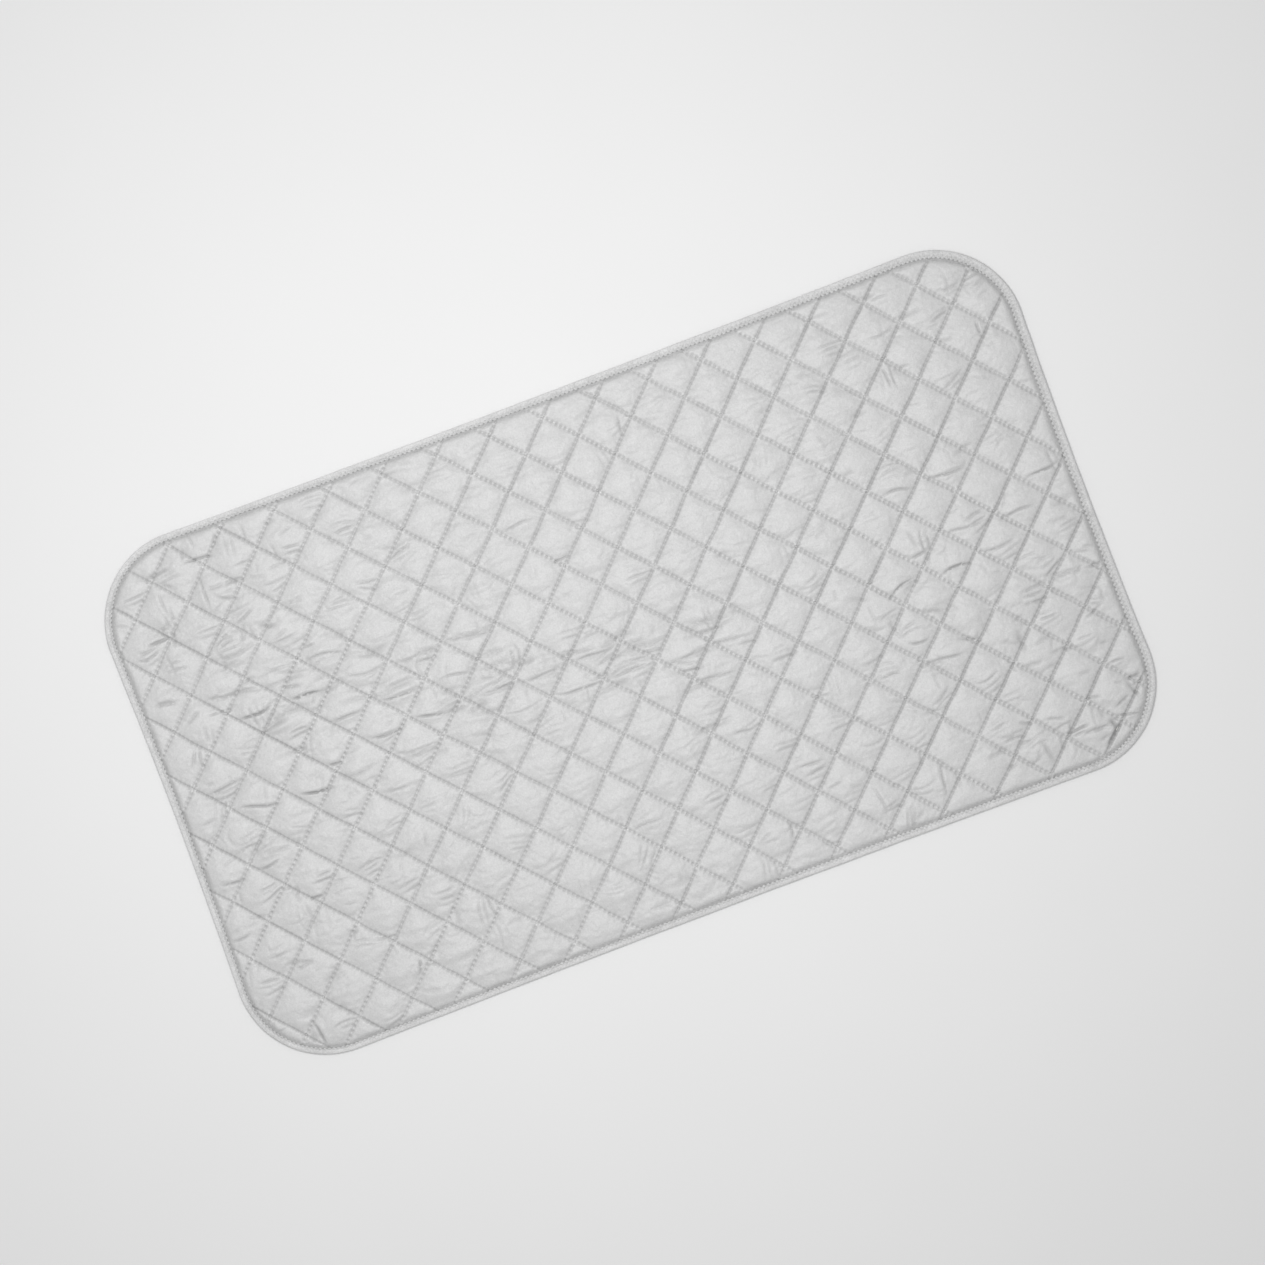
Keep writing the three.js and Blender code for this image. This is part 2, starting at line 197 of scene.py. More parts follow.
def lattice():
    """A crossing of the seams and the two steps from it along the seams to the next crossings."""
    s = sizes()
    along = s.diamond_length / 2 * np.array([math.cos(s.lengthwise_turn), math.sin(s.lengthwise_turn)])
    upright = math.pi / 2 + s.crosswise_turn
    across = s.diamond_width / 2 * np.array([math.cos(upright), math.sin(upright)])
    return np.array([s.first_crossing_x, s.first_crossing_y]), along + across, along - across


def place_of(steps):
    """Where a point given in lattice steps lies on the flat pattern. The lattice is that of the finished
    pad, so it is let out again by as much as the quilting draws it in."""
    start, first, second = lattice()
    place = wander(start + steps[..., :1] * first + steps[..., 1:] * second)
    wobble = [soft_noise(place, WOBBLE_SIZE, seed) for seed in (31, 32)]
    place = place + WOBBLE * np.stack(wobble, -1)
    return 2 * place - drawn_in(place)


def lattice_range():
    """The lowest and highest whole steps that cover the pad."""
    start, first, second = lattice()
    ends = np.array([[sx * PAD_LENGTH / 2, sy * PAD_WIDTH / 2] for sx in (-1, 1) for sy in (-1, 1)])
    steps = np.linalg.solve(np.column_stack([first, second]), (ends - start).T).T
    return np.floor(steps.min(0)).astype(int) - 1, np.ceil(steps.max(0)).astype(int) + 1


class QuiltedGrid:
    """A grid of square faces that follows the seams, cut off this far in from the pad's edge. A crowded
    grid has its lines closer together beside the seams than in the middle of a diamond."""

    def __init__(self, per_side, reach, crowding=0.0):
        low, high = lattice_range()
        count = (high - low) * per_side + 1
        first, second = np.meshgrid(np.arange(count[0]), np.arange(count[1]), indexing="ij")
        even = np.stack([first, second], -1) / per_side
        steps = low + even - crowding * np.sin(2 * math.pi * even) / (2 * math.pi)
        flat = place_of(steps)
        # Points up to a little over half a face beyond the cut are kept, and moved onto it below
        spare = 0.55 * (1 + crowding) * np.linalg.norm(lattice()[1]) / per_side
        kept = inset_of(flat) > reach - spare
        whole = kept[:-1, :-1] & kept[1:, :-1] & kept[1:, 1:] & kept[:-1, 1:]
        used = np.zeros_like(kept)
        for a in (slice(None, -1), slice(1, None)):
            for b in (slice(None, -1), slice(1, None)):
                used[a, b] |= whole
        index = np.full(kept.shape, -1)
        index[used] = np.arange(used.sum())
        corners = [index[:-1, :-1], index[:-1, 1:], index[1:, 1:], index[1:, :-1]]
        self.faces = np.stack([corner[whole] for corner in corners], 1)
        self.index = index
        self.used = used
        self.steps = steps[used]
        self.low = low
        points = flat[used]
        short = np.maximum(reach - inset_of(points), 0)
        self.flat = points + way_in(points) * short[:, None]
        self.inset = inset_of(self.flat)
        self.per_side = per_side

    def on_seam(self):
        """True for each point that lies on a seam."""
        return (np.abs(self.steps - np.round(self.steps)) < 1e-6).any(1)

    def rim(self):
        """The points round the edge, in order."""
        sides = [self.faces[:, [corner, (corner + 1) % 4]] for corner in range(4)]
        known = {tuple(side) for side in np.concatenate(sides).tolist()}
        follow = {a: b for a, b in known if (b, a) not in known}
        loop = [next(iter(follow))]
        while follow[loop[-1]] != loop[0]:
            loop.append(follow[loop[-1]])
        return loop


NOISE_CELLS = 256
NOISE_START = 100.5  # where the pad's middle lies in the table of random numbers


def eased(share):
    """A share from 0 to 1 with a gentle start and end."""
    return share * share * (3 - 2 * share)


def soft_noise(points, size, seed):
    """Smooth random numbers from about -1 to 1 over the plane, whose bumps are about this size."""
    rng = np.random.default_rng(seed)
    table = rng.uniform(-1, 1, (NOISE_CELLS + 1, NOISE_CELLS + 1))
    at = points / size + NOISE_START
    whole = np.floor(at).astype(int)
    part = eased(at - whole)
    a, b = whole[..., 0] % NOISE_CELLS, whole[..., 1] % NOISE_CELLS
    low = table[a, b] * (1 - part[..., 0]) + table[a + 1, b] * part[..., 0]
    high = table[a, b + 1] * (1 - part[..., 0]) + table[a + 1, b + 1] * part[..., 0]
    return low * (1 - part[..., 1]) + high * part[..., 1]


def uneven(points, spread, size, seed):
    """1, give or take this spread, in bumps of about this size."""
    return 1 + spread * soft_noise(points, size, seed)


# Meshes


def new_piece(name, points, faces, material, smooth=True):
    """A mesh piece of the pad, riding on its one body."""
    mesh = bpy.data.meshes.new(name)
    mesh.from_pydata(np.asarray(points).tolist(), [], faces if isinstance(faces, list) else faces.tolist())
    mesh.polygons.foreach_set("use_smooth", [smooth] * len(mesh.polygons))
    mesh.materials.append(material)
    mesh.update()
    piece = bpy.data.objects.new(name, mesh)
    bpy.context.scene.collection.objects.link(piece)
    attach(piece, "root")
    return piece


def give_numbers(piece, name, values):
    """Stores one number or one triple of numbers at each point of the piece."""
    kind = "FLOAT" if values.ndim == 1 else "FLOAT_VECTOR"
    layer = piece.data.attributes.new(name, kind, "POINT")
    layer.data.foreach_set("value" if kind == "FLOAT" else "vector", values.astype(np.float32).ravel())


def give_steps(piece, grid):
    """Stores the lattice steps of a grid's points, moved so that none is negative."""
    give_numbers(piece, "steps", np.column_stack([grid.steps + 100, np.zeros(len(grid.steps))]))


# Cloth simulation

CLOTH_SCALE = 100.0  # the cloth solver works best on things that are metres long
CLOTH_FRAMES = 8
CLOTH_SETTINGS = {
    "quality": 5, "mass": 0.05, "tension_stiffness": 15, "compression_stiffness": 15,
    "shear_stiffness": 4.5, "bending_stiffness": 0.05, "use_pressure": True, "uniform_pressure_force": 1.5,
}
HELD_PAST_TAPE = 0.0003  # how far past the tape's inner edge the face cloth is held
START_RISE = 0.35  # how high the simulation starts, as a share of the full puff
START_NOISE = 0.00003  # how uneven it starts
LEAST_RISE = 0.3  # a puff that stays lower than this share has failed
TOP_SHARE = 97  # the puffs are scaled so that this percentage of the points lies below the full rise


def dome(steps):
    """A plain dome over each diamond, from 0 on the seams to 1 in the middle."""
    part = steps - np.floor(steps)
    return 16 * (part * (1 - part)).prod(1)


def pushed_up(grid, held, start):
    """Heights of this grid after pressure from below has pushed the cloth up where it isn't held."""
    mesh = bpy.data.meshes.new("puff_trial")
    points = np.column_stack([grid.flat, start]) * CLOTH_SCALE
    mesh.from_pydata(points.tolist(), [], grid.faces.tolist())
    trial = bpy.data.objects.new("puff_trial", mesh)
    scene = bpy.context.scene
    scene.collection.objects.link(trial)
    trial.vertex_groups.new(name="sewn").add(np.nonzero(held)[0].tolist(), 1.0, "REPLACE")
    cloth = trial.modifiers.new("Cloth", "CLOTH")
    for key, value in CLOTH_SETTINGS.items():
        setattr(cloth.settings, key, value)
    cloth.settings.vertex_group_mass = "sewn"
    cloth.settings.effector_weights.gravity = 0
    cloth.point_cache.frame_start = 1
    cloth.point_cache.frame_end = CLOTH_FRAMES
    for number in range(1, CLOTH_FRAMES + 1):
        scene.frame_set(number)
    shaped = trial.evaluated_get(bpy.context.evaluated_depsgraph_get()).data
    found = np.empty(len(points) * 3)
    shaped.vertices.foreach_get("co", found)
    bpy.data.objects.remove(trial)
    bpy.data.meshes.remove(mesh)
    scene.frame_set(1)
    return found.reshape(-1, 3)[:, 2] / CLOTH_SCALE


def puffed(grid):
    """Heights of the face cloth over its seams, as the wadding below pushes it up between them."""
    rise = sizes().puff_rise
    held = grid.on_seam() | (grid.inset < tape_width_at(grid.flat) + HELD_PAST_TAPE)
    start = np.where(held, 0, START_RISE * rise * dome(grid.steps) ** 0.6)
    start += np.where(held, 0, START_NOISE * soft_noise(grid.flat, 0.004, 5))
    height = pushed_up(grid, held, start)
    if not np.isfinite(height).all() or height.max() < LEAST_RISE * rise:
        raise RuntimeError("the face cloth didn't puff up")
    return height * rise / np.percentile(height[~held], TOP_SHARE)


def read_between(grid, values, steps):
    """Values of an even grid, read at other steps by smooth curves through the four points each way."""
    table = np.zeros(grid.index.shape)
    table[grid.used] = values
    # Kept far enough inside that the four points each way are all in the table
    at = np.clip((steps - grid.low) * grid.per_side, 1, np.array(table.shape) - 2.001)
    whole = np.floor(at).astype(int)
    part = at - whole
    weights = [
        (-part + 2 * part**2 - part**3) / 2, (2 - 5 * part**2 + 3 * part**3) / 2,
        (part + 4 * part**2 - 3 * part**3) / 2, (part**3 - part**2) / 2,
    ]
    rows, columns = whole[:, 0], whole[:, 1]
    total = np.zeros(len(steps))
    for i in range(4):
        for j in range(4):
            nearby = table[rows + i - 1, columns + j - 1]
            total += weights[i][:, 0] * weights[j][:, 1] * nearby
    return total


# Node groups


def set_inputs(node, values):
    """Sets inputs by name or number: a link for a socket, and a plain value for the rest."""
    for key, value in values.items():
        socket = node.inputs[key]
        if isinstance(value, bpy.types.NodeSocket):
            node.id_data.links.new(value, socket)
        else:
            socket.default_value = value


def add(tree, kind, settings=None, **values):
    """A new node with its settings, and values or links for its inputs by name."""
    node = tree.nodes.new(kind)
    for key, value in (settings or {}).items():
        setattr(node, key, value)
    set_inputs(node, {key.replace("_", " "): value for key, value in values.items()})
    return node


def calc(tree, operation, *values, clamp=False):
    """The output of a Math node over these values or sockets."""
    node = tree.nodes.new("ShaderNodeMath")
    node.operation = operation
    node.use_clamp = clamp
    set_inputs(node, dict(enumerate(values)))
    return node.outputs[0]


def fade(tree, value, start, end):
    """0 up to start and 1 from end on, or the other way round where start is the larger."""
    node = add(tree, "ShaderNodeMapRange", {"interpolation_type": "SMOOTHSTEP"})
    low, high = (0, 1) if start < end else (1, 0)
    set_inputs(node, {"Value": value, "From Min": min(start, end), "From Max": max(start, end)})
    set_inputs(node, {"To Min": low, "To Max": high})
    return node.outputs["Result"]


def band(tree, value, ends):
    """1 where the value is near 0, and 0 beyond the first of these ends on both sides."""
    return fade(tree, calc(tree, "ABSOLUTE", value), *ends)


def noise(tree, vector, size_mm, detail=2.0, roughness=0.5):
    """Noise whose bumps are about this size, from 0 to 1, over coordinates in millimetres."""
    node = add(tree, "ShaderNodeTexNoise", Vector=vector, Scale=1 / size_mm)
    set_inputs(node, {"Detail": detail, "Roughness": roughness})
    return node.outputs["Fac"]


def attribute(tree, name):
    """The three numbers that the mesh holds under this name."""
    return add(tree, "ShaderNodeAttribute", {"attribute_name": name}).outputs["Vector"]


def split(tree, vector):
    """The three numbers of a vector."""
    return list(add(tree, "ShaderNodeSeparateXYZ", Vector=vector).outputs)


def new_group(name, inputs, outputs):
    """An empty shader node group, and the nodes that hold its inputs and outputs."""
    tree = bpy.data.node_groups.new(name, "ShaderNodeTree")
    for label, kind, default in inputs:
        socket = tree.interface.new_socket(label, in_out="INPUT", socket_type=kind)
        if default is not None:
            socket.default_value = default
    for label in outputs:
        tree.interface.new_socket(label, in_out="OUTPUT", socket_type="NodeSocketFloat")
    return tree, tree.nodes.new("NodeGroupInput"), tree.nodes.new("NodeGroupOutput")


def weave_group():
    """Threads of a plain weave that pass over and under each other."""
    tree, given, made = new_group(
        "Plain weave",
        [("Vector", "NodeSocketVector", None), ("Pitch", "NodeSocketFloat", 0.6)],
        ["Height", "Gaps"],
    )
    wobble = add(tree, "ShaderNodeTexNoise", Vector=given.outputs["Vector"], Scale=0.35, Detail=1.0)
    bent = add(tree, "ShaderNodeVectorMath", {"operation": "MULTIPLY_ADD"})
    set_inputs(bent, {0: wobble.outputs["Color"], 1: (0.5, 0.5, 0.0), 2: given.outputs["Vector"]})
    waves = []
    for part in split(tree, bent.outputs[0])[:2]:
        turn = calc(tree, "MULTIPLY", calc(tree, "DIVIDE", part, given.outputs["Pitch"]), math.pi)
        waves.append(calc(tree, "SINE", turn))
    over = calc(tree, "MULTIPLY", *waves)
    height = calc(tree, "MULTIPLY_ADD", over, 0.5, 0.5)
    threads = [calc(tree, "ABSOLUTE", wave) for wave in waves]
    gaps = calc(tree, "SUBTRACT", 1.0, calc(tree, "MAXIMUM", *threads), clamp=True)
    set_inputs(made, {"Height": height, "Gaps": gaps})
    return tree


def tone_group():
    """Unevenness of a cloth's colour: broad clouds, blotches and fine specks."""
    tree, given, made = new_group(
        "Cloth tone",
        [
            ("Vector", "NodeSocketVector", None), ("Clouds", "NodeSocketFloat", 0.03),
            ("Blotches", "NodeSocketFloat", 0.04), ("Specks", "NodeSocketFloat", 0.06),
        ],
        ["Tone"],
    )
    tone = 1.0
    for label, size in (("Clouds", 90), ("Blotches", 9), ("Specks", 1.3)):
        centred = calc(tree, "SUBTRACT", noise(tree, given.outputs["Vector"], size, 2.5, 0.55), 0.5)
        tone = calc(tree, "MULTIPLY_ADD", centred, calc(tree, "MULTIPLY", given.outputs[label], 3.0), tone)
    set_inputs(made, {"Tone": tone})
    return tree


# Marks of the seams, in millimetres: how far from its middle each ends, and where it is full
LINE_BELOW = 0.3  # the line of painted shade lies this far below the seam's own line
FALLING_LINE = (1.8, 0.3)
RISING_LINE = (2.2, 0.3)
HOLE = (1.35, 0.3)
PUCKER = (3.0, 0.3)
RAIL_AWAY = 1.9  # from the seam to the small shadows on both sides of it
RAIL = (1.1, 0.2)
TURN_ABOVE = 1.2  # from the crossing up to the row of turn stitches
TURN_ROW = (1.3, 0.3)
TURN_HALF = (5.0, 3.4)
CROSSING = (4.2, 1.4)
# Half a diamond's length and width, as shares of its side
HALF_LENGTH = 0.69
HALF_WIDTH = 0.73


def seam_marks(tree, given, steps, past_crossing, across, line):
    """The marks of one family of seams: this axis of the lattice steps counts across them."""
    side = given.outputs["Side"]
    away = calc(tree, "MULTIPLY", calc(tree, "PINGPONG", calc(tree, "ABSOLUTE", steps[across]), 0.5), side)
    count = calc(tree, "MULTIPLY", calc(tree, "ABSOLUTE", steps[1 - across]), given.outputs["Stitches"])
    pitch = calc(tree, "DIVIDE", side, given.outputs["Stitches"])
    past_hole = calc(tree, "MULTIPLY", calc(tree, "PINGPONG", count, 0.5), pitch)
    squares = [calc(tree, "POWER", way, 2.0) for way in (away, past_hole)]
    wave = calc(tree, "COSINE", calc(tree, "MULTIPLY", count, 2 * math.pi))
    below = calc(tree, "MULTIPLY_ADD", past_crossing[across], side, -LINE_BELOW)
    return {
        "away": away,
        "wave": wave,
        "line": band(tree, below, line),
        "holes": fade(tree, calc(tree, "SQRT", calc(tree, "ADD", *squares)), *HOLE),
        "puckers": calc(tree, "MULTIPLY", wave, fade(tree, away, *PUCKER)),
    }


def turn_marks(tree, side, past_crossing):
    """The flat turns of the thread, just above the crossings."""
    half_length = calc(tree, "MULTIPLY", side, HALF_LENGTH)
    half_width = calc(tree, "MULTIPLY", side, HALF_WIDTH)
    ahead = calc(tree, "MULTIPLY", calc(tree, "ADD", *past_crossing), half_length)
    above = calc(tree, "MULTIPLY", calc(tree, "SUBTRACT", *past_crossing), half_width)
    row = band(tree, calc(tree, "SUBTRACT", above, TURN_ABOVE), TURN_ROW)
    return calc(tree, "MULTIPLY", band(tree, ahead, TURN_HALF), row)


def seam_group():
    """Quilting seams drawn from lattice steps: the sunk line, the needle holes, the small shadows and
    puckers beside it, the flat turns of the thread, and the crossings."""
    tree, given, made = new_group(
        "Quilting seams",
        [
            ("Steps", "NodeSocketVector", None), ("Side", "NodeSocketFloat", 35.8),
            ("Stitches", "NodeSocketFloat", 8.0),
        ],
        [
            "Falling line", "Falling holes", "Falling rails", "Rising line", "Rising holes", "Turns",
            "Crossings", "Puckers",
        ],
    )
    side = given.outputs["Side"]
    steps = split(tree, given.outputs["Steps"])[:2]
    past_crossing = [
        calc(tree, "SUBTRACT", calc(tree, "FRACT", calc(tree, "ADD", step, 0.5)), 0.5) for step in steps
    ]
    squares = [calc(tree, "MULTIPLY", past, past) for past in past_crossing]
    from_crossing = calc(tree, "MULTIPLY", calc(tree, "SQRT", calc(tree, "ADD", *squares)), side)
    falling = seam_marks(tree, given, steps, past_crossing, 0, FALLING_LINE)
    rising = seam_marks(tree, given, steps, past_crossing, 1, RISING_LINE)
    rails = band(tree, calc(tree, "SUBTRACT", falling["away"], RAIL_AWAY), RAIL)
    rails = calc(tree, "MULTIPLY", rails, calc(tree, "MULTIPLY_ADD", falling["wave"], 0.4, 0.6))
    set_inputs(made, {
        "Falling line": falling["line"],
        "Falling holes": falling["holes"],
        "Falling rails": rails,
        "Rising line": rising["line"],
        "Rising holes": rising["holes"],
        "Turns": turn_marks(tree, side, past_crossing),
        "Crossings": fade(tree, from_crossing, *CROSSING),
        "Puckers": calc(tree, "ADD", falling["puckers"], rising["puckers"]),
    })
    return tree


def group(name):
    """A shared node group, built the first time that a material asks for it."""
    makers = {"Plain weave": weave_group, "Cloth tone": tone_group, "Quilting seams": seam_group}
    return bpy.data.node_groups.get(name) or makers[name]()


def place_group(tree, name, **values):
    """A shared node group placed in a material, with values or links for its inputs by name."""
    node = tree.nodes.new("ShaderNodeGroup")
    node.node_tree = group(name)
    set_inputs(node, {key.replace("_", " "): value for key, value in values.items()})
    return node


# Materials


def new_material(name, **shader_values):
    """A material with its Principled shader's plain values set, and its millimetre coordinates."""
    material = bpy.data.materials.new(name)
    material.use_nodes = True
    tree = material.node_tree
    shader = tree.nodes["Principled BSDF"]
    set_inputs(shader, {key.replace("_", " "): value for key, value in shader_values.items()})
    coordinates = tree.nodes.new("ShaderNodeTexCoord").outputs["Object"]
    scaled = add(tree, "ShaderNodeVectorMath", {"operation": "SCALE"}, Scale=1000.0)
    set_inputs(scaled, {0: coordinates})
    return material, tree, shader, scaled.outputs[0]


def tinted(tree, base, tone):
    """The base colour made lighter or darker by tone."""
    node = add(tree, "ShaderNodeVectorMath", {"operation": "SCALE"}, Scale=tone)
    set_inputs(node, {0: tuple(base)})
    return node.outputs[0]


def bumped(tree, height, depth_mm, normal=None):
    """A normal from this height, which is this deep in millimetres from 0 to 1."""
    node = add(tree, "ShaderNodeBump", Height=height, Distance=depth_mm * MM, Strength=1.0)
    if normal is not None:
        set_inputs(node, {"Normal": normal})
    return node.outputs["Normal"]


def give_looks(tree, shader, base, tone, rough, normal=None):
    """Gives the shader its colour, roughness and normal."""
    set_inputs(shader, {"Base Color": tinted(tree, base, tone), "Roughness": rough})
    if normal is not None:
        set_inputs(shader, {"Normal": normal})


def cloth_tone(tree, place, clouds, blotches, specks):
    """An uneven tone about 1, from the shared group."""
    node = place_group(tree, "Cloth tone", Vector=place, Clouds=clouds, Blotches=blotches, Specks=specks)
    return node.outputs["Tone"]


def darkened(tree, tone, dark):
    """The tone made darker by a share from 0 to 1."""
    return calc(tree, "MULTIPLY", tone, calc(tree, "SUBTRACT", 1.0, dark))


def varied(tree, fac, change, start):
    """A value that is start where fac is 0, and this change more where fac is 1."""
    return calc(tree, "MULTIPLY_ADD", fac, change, start)


def quilting_seams(tree):
    """The lattice steps stored in the mesh, and the shared group that draws the seams from them."""
    steps = attribute(tree, "steps")
    seams = place_group(tree, "Quilting seams", Steps=steps, Stitches=float(sizes().stitches_per_side))
    return steps, seams.outputs


def dotted_stretches(tree, steps, stretch):
    """1 where the needle holes show best along the seams and 0 where the sunk line does."""
    along_seam = add(tree, "ShaderNodeVectorMath", {"operation": "MULTIPLY"})
    set_inputs(along_seam, {0: steps, 1: stretch})
    return fade(tree, noise(tree, along_seam.outputs[0], 0.9, 1.0), 0.36, 0.64)


def seam_shares(tree, place, steps):
    """How much painted shade each mark of the seams gets on the face, following where the lamp's light
    falls.
    Falling seams read as a line at the left and as a ladder to the right, and rising ones as a line to the
    right. Elsewhere line and holes take turns."""
    along_pad = split(tree, place)[0]
    to_right = fade(tree, along_pad, -300, 300)
    at_left = fade(tree, along_pad, -60, -330)
    patchy = fade(tree, noise(tree, place, 26, 1.0), 0.35, 0.65)
    line, holes = [], []
    for stretch, smooth_side in (((1.0, 0.25, 0.0), at_left), ((0.25, 1.0, 0.0), to_right)):
        dotted = dotted_stretches(tree, steps, stretch)
        line.append(varied(tree, dotted, -0.09, 0.10))
        open_side = varied(tree, smooth_side, -0.75, 1.0)
        holes.append(calc(tree, "MULTIPLY", varied(tree, dotted, 0.11, 0.04), open_side))
    return {
        "Falling holes": holes[0],
        "Falling line": calc(tree, "MULTIPLY_ADD", at_left, 0.11, line[0]),
        "Falling rails": calc(tree, "MULTIPLY", to_right, varied(tree, patchy, 0.11, 0.03)),
        "Rising holes": holes[1],
        "Rising line": calc(tree, "MULTIPLY_ADD", to_right, 0.14, line[1]),
        "Turns": varied(tree, patchy, 0.14, 0.02),
    }


def seam_darkness(tree, place, seams, shares):
    """The painted shade of all the marks of the seams together, less at some of the crossings."""
    dark = 0.0
    for name, share in shares.items():
        dark = calc(tree, "MULTIPLY_ADD", seams[name], share, dark)
    opened = varied(tree, fade(tree, noise(tree, place, 14, 1.0), 0.44, 0.60), -0.7, -0.05)
    return calc(tree, "MULTIPLY", dark, varied(tree, seams["Crossings"], opened, 1.0))


def seam_relief(tree, place, seams, shares, fold, weave):
    """The face's normal: weave, fine crinkle, puckers, needle holes, thread turns and tucks."""
    normal = bumped(tree, weave.outputs["Height"], 0.05)
    normal = bumped(tree, noise(tree, place, 3.4, 3.0, 0.6), 0.60, normal)
    normal = bumped(tree, seams["Puckers"], -0.14, normal)
    holes = calc(tree, "MULTIPLY", seams["Falling holes"], shares["Falling holes"])
    holes = calc(tree, "MULTIPLY_ADD", seams["Rising holes"], shares["Rising holes"], holes)
    normal = bumped(tree, holes, -1.6, normal)
    normal = bumped(tree, seams["Turns"], -0.20, normal)
    return bumped(tree, fold, -0.45, normal)


def face_material():
    """Silver-grey coated cloth, with painted shade in its seams, tucks and weave, a painted shadow beside
    the tape, and painted highlights on the puckers' ridges and at some crossings.
    """
    material, tree, shader, place = new_material("Coated face cloth", Metallic=0.12, Specular_IOR_Level=0.4)
    steps, seams = quilting_seams(tree)
    shares = seam_shares(tree, place, steps)
    weave = place_group(tree, "Plain weave", Vector=place, Pitch=0.62)
    tuck_distance, tuck_strength, beyond_tape = split(tree, attribute(tree, "tuck"))
    fold = calc(tree, "MULTIPLY", fade(tree, tuck_distance, 2.0, 0.2), tuck_strength)
    # Painted shadow beside the tape's inner edge, where the puffed cloth dips, with a ragged edge
    ragged = calc(tree, "MULTIPLY_ADD", noise(tree, place, 2.6, 2.0), 2.4, -1.2)
    tape_edge_shadow = fade(tree, calc(tree, "ADD", beyond_tape, ragged), 3.3, 0.8)
    # Painted shade along the seams: the sunk line, needle holes, small shadows and thread turns
    dark = seam_darkness(tree, place, seams, shares)
    # Painted shade in the tucks and in the gaps of the weave, and the painted shadow beside the tape
    for mark, share in ((fold, 0.28), (tape_edge_shadow, 0.22), (weave.outputs["Gaps"], 0.10)):
        dark = calc(tree, "MULTIPLY_ADD", mark, share, dark)
    tone = darkened(tree, cloth_tone(tree, place, 0.02, 0.035, 0.10), dark)
    # Painted highlight on the ridges of the puckers between two stitches
    pucker_ridge_highlight = calc(tree, "MAXIMUM", calc(tree, "MULTIPLY", seams["Puckers"], -1.0), 0.0)
    tone = calc(tree, "MULTIPLY_ADD", pucker_ridge_highlight, 0.06, tone)
    # Painted glints at some crossings
    glints = calc(tree, "MULTIPLY", fade(tree, noise(tree, place, 2.0, 1.0), 0.50, 0.66), seams["Crossings"])
    tone = calc(tree, "MULTIPLY_ADD", glints, 0.22, tone)
    rough = varied(tree, noise(tree, place, 2.2, 3.0), 0.20, 0.46)
    normal = seam_relief(tree, place, seams, shares, fold, weave)
    give_looks(tree, shader, colours().face, tone, rough, normal)
    return material


def backing_material():
    """Plain woven cloth, with painted shade at the needle holes along its seams and in the gaps of its
    weave.
    """
    material, tree, shader, place = new_material("Plain backing cloth", Specular_IOR_Level=0.25)
    seams = quilting_seams(tree)[1]
    weave = place_group(tree, "Plain weave", Vector=place, Pitch=0.45)
    holes = calc(tree, "MAXIMUM", seams["Falling holes"], seams["Rising holes"])
    # Painted shade in the gaps of the weave and at the needle holes
    dark = calc(tree, "MULTIPLY_ADD", weave.outputs["Gaps"], 0.16, calc(tree, "MULTIPLY", holes, 0.35))
    tone = darkened(tree, cloth_tone(tree, place, 0.03, 0.03, 0.08), dark)
    rough = varied(tree, noise(tree, place, 1.5), 0.16, 0.80)
    normal = bumped(tree, weave.outputs["Height"], 0.05)
    normal = bumped(tree, seams["Puckers"], -0.14, normal)
    give_looks(tree, shader, colours().backing, tone, rough, normal)
    return material


# How far in from the edge the zigzag's two rows of holes lie
ZIGZAG_OUTER = 0.0044
ZIGZAG_INNER = 0.0074


def zigzag_holes(tree, zigzags, inset):
    """1 at the zigzag's needle holes and 0 a millimetre or so away, from the tape's own coordinates."""
    found = []
    for row, shift, strength in ((ZIGZAG_OUTER, 0.0, 0.4), (ZIGZAG_INNER, 0.5, 1.0)):
        off = calc(tree, "PINGPONG", calc(tree, "ADD", zigzags, shift), 0.5)
        along = calc(tree, "MULTIPLY", off, sizes().zigzag_pitch / MM)
        across = calc(tree, "SUBTRACT", inset, row / MM)
        squares = calc(tree, "ADD", calc(tree, "POWER", along, 2.0), calc(tree, "MULTIPLY", across, across))
        found.append(calc(tree, "MULTIPLY", fade(tree, calc(tree, "SQRT", squares), 1.5, 0.4), strength))
    return calc(tree, "MAXIMUM", *found)


